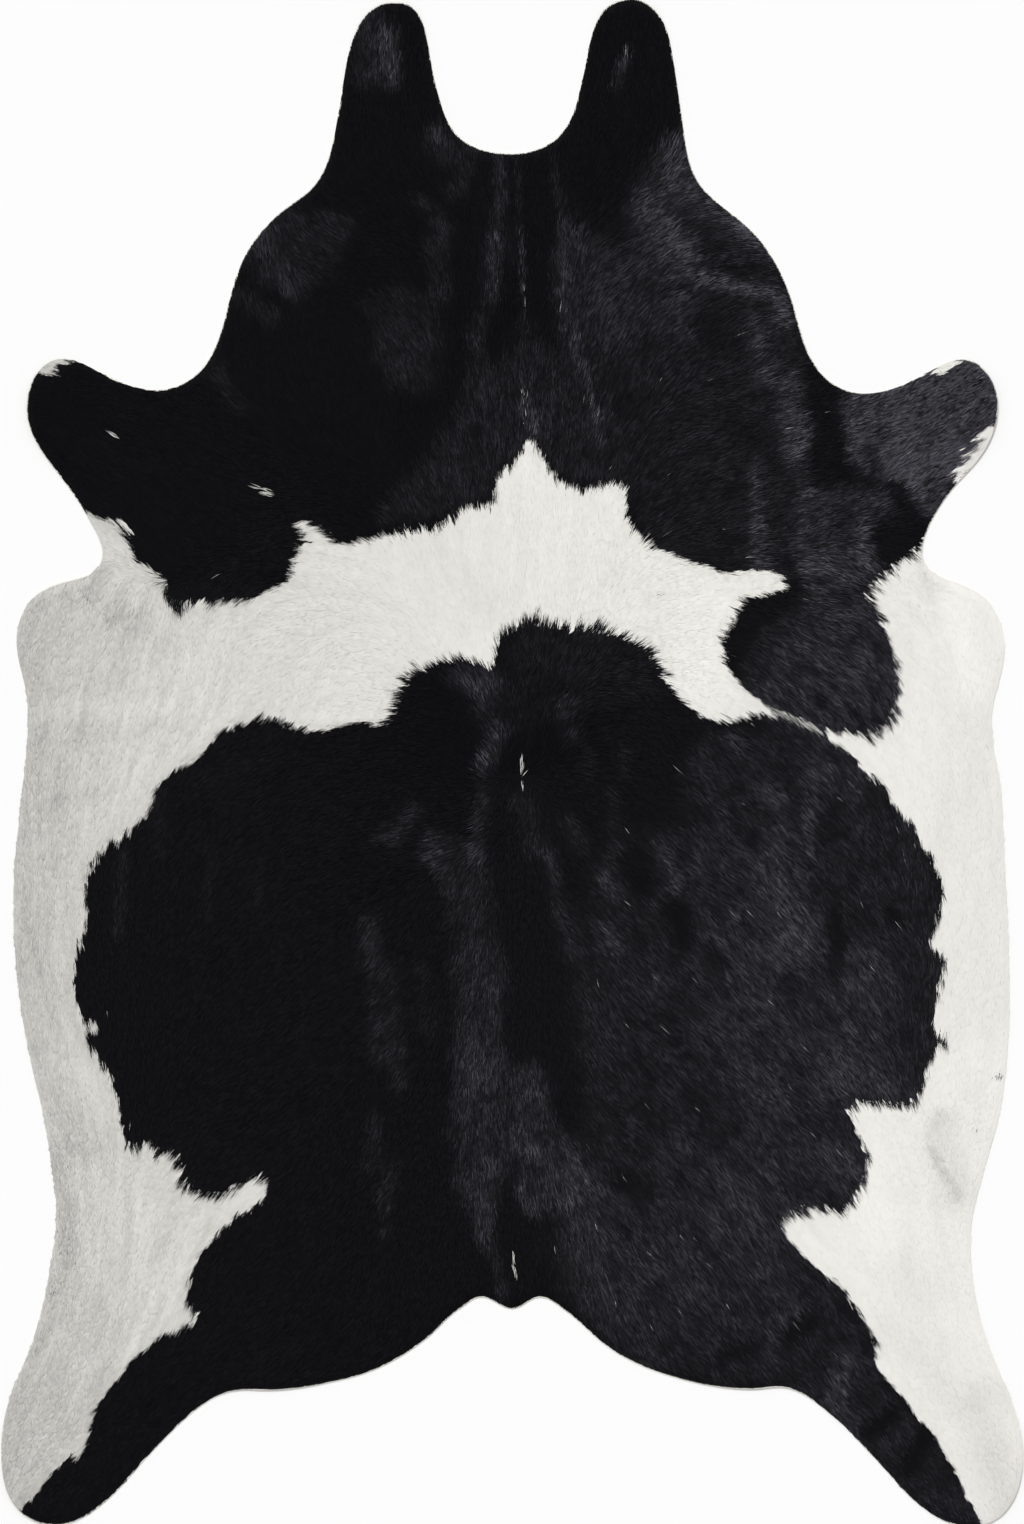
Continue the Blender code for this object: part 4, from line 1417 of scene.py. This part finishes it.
def tuft_of(x, y):
    """The tuft each lock belongs to: the nearest of a loose grid of tuft centres, as (centre's x and
    y, a number for each tuft)."""
    columns, rows = int(2 * WIDE / TUFT) + 4, int(2 * LONG / TUFT) + 4  # some spare at each side
    loose = np.random.default_rng(TUFT_SEED).uniform(0.05, 0.95, (rows, columns, 2))
    i0 = np.floor((x + WIDE) / TUFT).astype(int) + 1
    j0 = np.floor((y + LONG) / TUFT).astype(int) + 1
    best = np.full(len(x), np.inf)
    cx, cy, number = np.zeros(len(x)), np.zeros(len(x)), np.zeros(len(x), int)
    for di in (-1, 0, 1):
        for dj in (-1, 0, 1):
            i, j = i0 + di, j0 + dj
            px = (i - 1 + loose[j, i, 0]) * TUFT - WIDE
            py = (j - 1 + loose[j, i, 1]) * TUFT - LONG
            away = (x - px) ** 2 + (y - py) ** 2
            nearer = away < best
            best = np.where(nearer, away, best)
            cx, cy = np.where(nearer, px, cx), np.where(nearer, py, cy)
            number = np.where(nearer, j * columns + i, number)
    return cx, cy, number


def lock_roots(hide):
    """Where each lock starts, as x, y and how much of a border lock it is: a grid of LOCK_PITCH that
    is shaken up, with further locks along the rim and where black meets white."""
    rng = np.random.default_rng(ROOT_SEED)
    x, y = [v.ravel() for v in np.meshgrid(
        np.arange(-WIDE, WIDE, LOCK_PITCH), np.arange(-LONG, LONG, LOCK_PITCH),
    )]
    x = x + rng.uniform(-0.5, 0.5, len(x)) * LOCK_PITCH
    y = y + rng.uniform(-0.5, 0.5, len(y)) * LOCK_PITCH
    near = np.abs(hide.patches(x, y) + BORDER_OUT) < BORDER_REACH
    rim = (hide.depth(x, y) < RIM_REACH) & (hide.depth(x, y) > -1)
    further = np.concatenate([np.tile(np.flatnonzero(near), BORDER_MORE), np.flatnonzero(rim)])
    x = np.concatenate([x, x[further] + rng.uniform(-1, 1, len(further)) * LOCK_PITCH])
    y = np.concatenate([y, y[further] + rng.uniform(-1, 1, len(further)) * LOCK_PITCH])
    inside = hide.depth(x, y) > ROOT_CLEAR + RIM_BARE * hide.facing_tail(x, y)
    x, y = x[inside], y[inside]
    away = np.abs(hide.patches(x, y) + BORDER_OUT) / BORDER_REACH
    return x, y, soft_step(BORDER_FULL * (1 - away))


def cut_at_rim(hide, root, tip):
    """The share of a lock that is left between its root and the rim, where the hair is cut short
    with the skin. Less is left where the edge faces the tail end, so the bare leather shows
    there."""
    margin = RIM_CLEAR + RIM_BARE * hide.facing_tail(*root.T)
    at_root, at_tip = hide.depth(*root.T), hide.depth(*tip.T)
    share = np.clip((at_root - margin) / np.maximum(at_root - at_tip, 1e-6), LOCK_CUT, 1)
    return np.where(at_tip < margin, share, 1)


class Locks:
    """Every lock of the coat, as arrays with a row for each: four points (root, left, right, tip),
    whether it is black, its painted sheen or shade, and a number by chance. The steps below draw
    from one seeded sequence, so they run in this order."""

    def __init__(self, hide):
        self.hide = hide
        self.x, self.y, self.border = lock_roots(hide)
        self.rng = np.random.default_rng(LOCK_SEED)
        self.count = len(self.x)
        self.chance = self.rng.uniform(0, 1, self.count)
        self.tuft_x, self.tuft_y, tuft = tuft_of(self.x, self.y)
        tufts = np.random.default_rng(TUFT_KIND_SEED)
        self.per_tuft = [tufts.normal(0, 1, tuft.max() + 1)[tuft] for _ in range(4)]
        self.fine = read(hide.fine_streaks, STREAK_PITCH, self.x, self.y)
        self.broad = read(hide.broad_streaks, STREAK_PITCH, self.x, self.y)
        self.lay_down()
        self.colour()
        self.shape()
        self.sheen_or_shade()

    def by_chance(self, spread=1):
        """A number for each lock by chance, about 0."""
        return self.rng.normal(0, spread, self.count)

    def uneven(self, kind, lock, tuft, fine, broad):
        """A number for each lock: so much by chance, with its tuft, and along the streaks."""
        own = lock * self.by_chance() + tuft * self.per_tuft[kind]
        return own + fine * self.fine + broad * self.broad

    def lay_down(self):
        """Each lock's line: LOCK_LENGTH from its root along the direction of growth, which its
        region, its tuft and chance turn a little. The hair is shorter on the legs, and longer where
        black meets white. The tip is drawn towards the tuft's tip and cut off at the rim."""
        x, y = self.x, self.y
        turn = layers(x, y, TURN_REGION)
        turn = turn + TURN_TUFT * self.per_tuft[0] + TURN_LOCK * self.by_chance()
        heading = self.hide.heading(x, y) + np.radians(turn)
        ahead = np.stack([np.cos(heading), np.sin(heading)], 1)
        self.sideways = np.stack([-ahead[:, 1], ahead[:, 0]], 1)
        length = LOCK_LENGTH * self.rng.uniform(*LENGTH_CHANCE, self.count)
        length = length * (1 + LENGTH_TUFT * self.per_tuft[1])
        short = LEGS_SHORTER * eased(np.abs(x), *LEGS_OUT) * eased(np.abs(y), *LEGS_ALONG)
        length = length * (1 - short) * (1 + BORDER_LONGER * self.border)
        length = np.clip(length, LOCK_SHORTEST, LOCK_LONGEST)
        self.root = np.stack([x, y], 1)
        tip = self.root + ahead * length[:, None]
        tuft_root = np.stack([self.tuft_x, self.tuft_y], 1)
        tip = tip + (tuft_root + ahead * (length * TUFT_LONGER)[:, None] - tip) * TUFT_DRAW
        self.share = cut_at_rim(self.hide, self.root, tip)
        self.tip = self.root + (tip - self.root) * self.share[:, None]

    def colour(self):
        """Black where a lock and its tuft lie inside a patch, with an edge that tufts, streaks and
        single locks make ragged. A few single hairs take the other colour: strays, most of them
        on the right, and those of SINGLE_HAIRS. Dark ones are short, light ones a little long."""
        x, y = self.x, self.y
        own = 1 - TUFT_COLOUR
        patch = self.hide.patches(
            own * x + TUFT_COLOUR * self.tuft_x, own * y + TUFT_COLOUR * self.tuft_y,
        )
        ragged = self.uneven(1, *RAGGED) * (1 - HIND_SMOOTHER * eased(-y, *HIND_LEGS))
        fading = np.clip(RAGGED_FULL - np.abs(patch) / RAGGED_REACH, 0, 1)
        black = patch + ragged * fading > 0
        odd = STRAY_SHARE * (STRAY_LEFT + STRAY_RIGHT * eased(x, *STRAY_MORE))
        odd = odd * (patch > STRAY_DEEP) * (y < STRAY_END)
        for _, start, end, reach, much in SINGLE_HAIRS:
            odd = odd + much * stroke_share(x, y, start, end, reach)
        self.single = self.rng.uniform(0, 1, self.count) < odd
        self.odd = odd
        self.black = black ^ self.single
        self.light_single = self.single & ~self.black
        dark_single = self.single & self.black
        dark_long = DARK_LONG[0] + DARK_LONG[1] * odd
        reach = np.where(dark_single, dark_long, np.where(self.light_single, LIGHT_LONG, 1))
        self.tip = self.root + (self.tip - self.root) * reach[:, None]

    def shape(self):
        """Four points for each lock. It is widest at LOCK_WIDEST_AT, a little to one side of its
        line, and it rises from the undercoat to the top of the coat. Its tuft, the streaks and
        chance raise or sink it by fractions of a millimetre, and tilt it."""
        width = LOCK_WIDTH * self.rng.uniform(*WIDTH_CHANCE, self.count)
        width = width * np.clip(self.share + LOCK_CUT_WIDE, 0, 1)
        width = width * np.where(self.black, 1, WHITE_WIDER) * (1 - BORDER_SLIMMER * self.border)
        half = 0.5 * np.where(self.single, SINGLE_WIDE[0] + SINGLE_WIDE[1] * self.odd, width)
        aside = self.by_chance(LOCK_ASIDE) * self.share
        middle = self.root + (self.tip - self.root) * LOCK_WIDEST_AT + self.sideways * aside[:, None]

        even = np.where(self.black, 1.0, WHITE_EVENNESS)
        roll = LOCK_ROLL * even * self.uneven(2, *LEAN)
        proud = self.uneven(3, *PROUD) * even + SINGLE_PROUD * self.single
        foot = np.where(self.black, UNDERCOAT, WHITE_UNDERCOAT) - ROOT_SUNK
        up, down = WHITE_MIDDLE_UP * (1 - even), WHITE_TIP_DOWN * (1 - even)
        z_middle = self.hide.coat_top(middle, LOCK_MIDDLE + up) + 0.5 * proud
        z_tip = self.hide.coat_top(self.tip, LOCK_TIP - down) + proud
        out = self.sideways * half[:, None]
        self.points = np.stack([
            np.column_stack([self.root, self.hide.coat_top(self.root, foot)]),
            np.column_stack([middle + out, z_middle + roll * half]),
            np.column_stack([middle - out, z_middle - roll * half]),
            np.column_stack([self.tip, z_tip]),
        ], 1)

    def sheen_or_shade(self):
        """The painted sheen of a black lock, which is mottled, or the painted shade of a white one,
        which is streaky, most on the left flank. A light single hair gets a shade by chance."""
        x, y = self.x, self.y
        place_x = x + MOTTLE_MOVED * self.by_chance()
        place_y = y + MOTTLE_MOVED * self.by_chance()
        mottle = layers(x, y, MOTTLE, 1) + MOTTLE_FINE * self.fine
        mottle = np.clip(mottle * self.rng.uniform(*MOTTLE_LOCK, self.count), 0, MOTTLE_MOST)
        shine = np.clip(self.hide.shines(place_x, place_y) * mottle, 0, 1) ** SHINE_CURVE
        streaky = STREAKY[0] + STREAKY[1] * eased(-x, *STREAKY_LEFT)
        shade = self.hide.shades(x, y) + SHADE_TUFT * self.per_tuft[2]
        shade = shade + streaky * (SHADE_FINE * self.fine + SHADE_BROAD * self.broad)
        single_shade = LIGHT_SHADE[0] + LIGHT_SHADE[1] * self.chance
        single_shade = single_shade * (1 - LIGHT_CLEAR * self.odd)
        shade = np.where(self.light_single, single_shade, shade)
        self.sheens_and_shades = np.clip(np.where(self.black, shine, shade), 0, 1)


def coat_piece(name, locks, here, materials):
    """One piece of the coat, of the locks that are here: two triangles each, with the "lock"
    attribute (painted sheen or shade, how far along, the number by chance, how far across) and a
    map from above."""
    four = locks.points[here]
    count = len(four)
    first = np.arange(count)[:, None] * 4
    faces = np.concatenate([first + (0, 2, 1), first + (1, 2, 3)])
    slots = np.tile(np.where(locks.black[here], 0, 1), 2)
    piece = mesh_object(name, four.reshape(-1, 3), faces, np.zeros((0, 4), int), slots, materials)
    lock = np.empty((count, 4, 4))
    lock[:, :, 0] = locks.sheens_and_shades[here][:, None]
    lock[:, :, 1] = (0.0, 0.6, 0.6, 1.0)
    lock[:, :, 2] = locks.chance[here][:, None]
    lock[:, :, 3] = (0.5, 0.0, 1.0, 0.5)
    paint(piece.data, "lock", lock.reshape(-1, 4))
    places = four[:, :, :2].reshape(-1, 2)
    size = (places.max(0) - places.min(0)).max()
    margin = 0.01
    lay_out(piece.data, (places - places.min(0)) / size * (1 - 2 * margin) + margin)
    return piece


def coat_pieces(hide, materials):
    """The coat as pieces of under 200,000 triangles, one for each part of the hide."""
    locks = Locks(hide)
    neck, shoulders, rump = locks.y > NECK_FROM, locks.y > SHOULDERS_FROM, locks.y <= RUMP_TO
    left = locks.x < 0
    parts = {
        "coat_of_the_neck": neck,
        "coat_of_the_left_shoulder": shoulders & ~neck & left,
        "coat_of_the_right_shoulder": shoulders & ~neck & ~left,
        "coat_of_the_left_back": ~shoulders & ~rump & left,
        "coat_of_the_right_back": ~shoulders & ~rump & ~left,
        "coat_of_the_left_rump": rump & left,
        "coat_of_the_right_rump": rump & ~left,
    }
    return [coat_piece(name, locks, here, materials) for name, here in parts.items()]


# ---------------------------------------------------------------- floor, light and camera


def floor_sheet():
    """The floor, a square just under the hide."""
    side, below = 40.0, -0.0002
    corners = [(x * side, y * side, below) for x, y in ((-1, -1), (1, -1), (1, 1), (-1, 1))]
    mesh = bpy.data.meshes.new("floor")
    mesh.from_pydata(corners, [], [(0, 1, 2, 3)])
    material, _, shader = new_material("pale floor")
    shader.inputs["Base Color"].default_value = FLOOR
    shader.inputs["Roughness"].default_value = 0.9
    shader.inputs["Specular IOR Level"].default_value = 0.0
    mesh.materials.append(material)
    floor = bpy.data.objects.new("floor", mesh)
    bpy.context.scene.collection.objects.link(floor)


def studio_light():
    """Even light from all sides, and one large soft light high over the head end."""
    world = bpy.data.worlds.new("studio")
    world.use_nodes = True
    background = world.node_tree.nodes["Background"]
    background.inputs["Color"].default_value = (1.0, 1.0, 1.0, 1)
    background.inputs["Strength"].default_value = AROUND
    bpy.context.scene.world = world
    data = bpy.data.lights.new("large soft light", "SUN")
    data.energy = KEY
    data.angle = math.radians(KEY_WIDE)
    light = bpy.data.objects.new("large soft light", data)
    side, up = math.radians(KEY_SIDE), math.radians(KEY_UP)
    away = Vector((math.cos(side) * math.cos(up), math.sin(side) * math.cos(up), math.sin(up)))
    light.location = away * 5
    light.rotation_euler = away.to_track_quat("Z", "Y").to_euler()
    bpy.context.scene.collection.objects.link(light)


def photo_camera():
    """Straight down on the rug, which fills the frame of 1024 by 1524 from ears to hind feet, from
    as high as makes the frame's longer side FILM long behind the lens. The middle of the frame
    lies one pixel off the hide's."""
    data = bpy.data.cameras.new("photo camera")
    data.lens = LENS
    data.sensor_width = FILM
    data.clip_end = 60
    camera = bpy.data.objects.new("photo camera", data)
    camera.location = (0.0, PIXEL * MM, FRAME_LONG * PIXEL * MM * data.lens / data.sensor_width)
    bpy.context.scene.collection.objects.link(camera)
    bpy.context.scene.camera = camera


bpy.context.scene.view_settings.view_transform = "Standard"
photo_camera()
studio_light()
floor_sheet()

hide = Hide()
grain = leather_grain_group()
fine_hair = fine_hair_group()
undercoat = undercoat_material()
suede = leather_material("suede underside", grain, *SUEDE, 0.9, 0.0006)
cut_rim = leather_material("cut leather rim", grain, *CUT_LEATHER, 0.85, 0.0003)
# The hair's third colours: painted sheen on the black, painted shade on the white
black_hair = coat_material(
    "black hair", fine_hair, 0.60, BLACK_ROOT_SHADE, BLACK_TIP, BLACK_PAINTED_SHEEN, 0.025, 0.45,
)
white_hair = coat_material(
    "white hair", fine_hair, 0.30, WHITE_ROOT_SHADE, WHITE_TIP, SHADOW, 0.1, 0.5,
)

sheet = hide_sheet(hide, [undercoat, suede, cut_rim])
coat = coat_pieces(hide, [black_hair, white_hair])
for piece in [sheet] + coat:
    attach(piece, BODY)
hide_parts("hide")
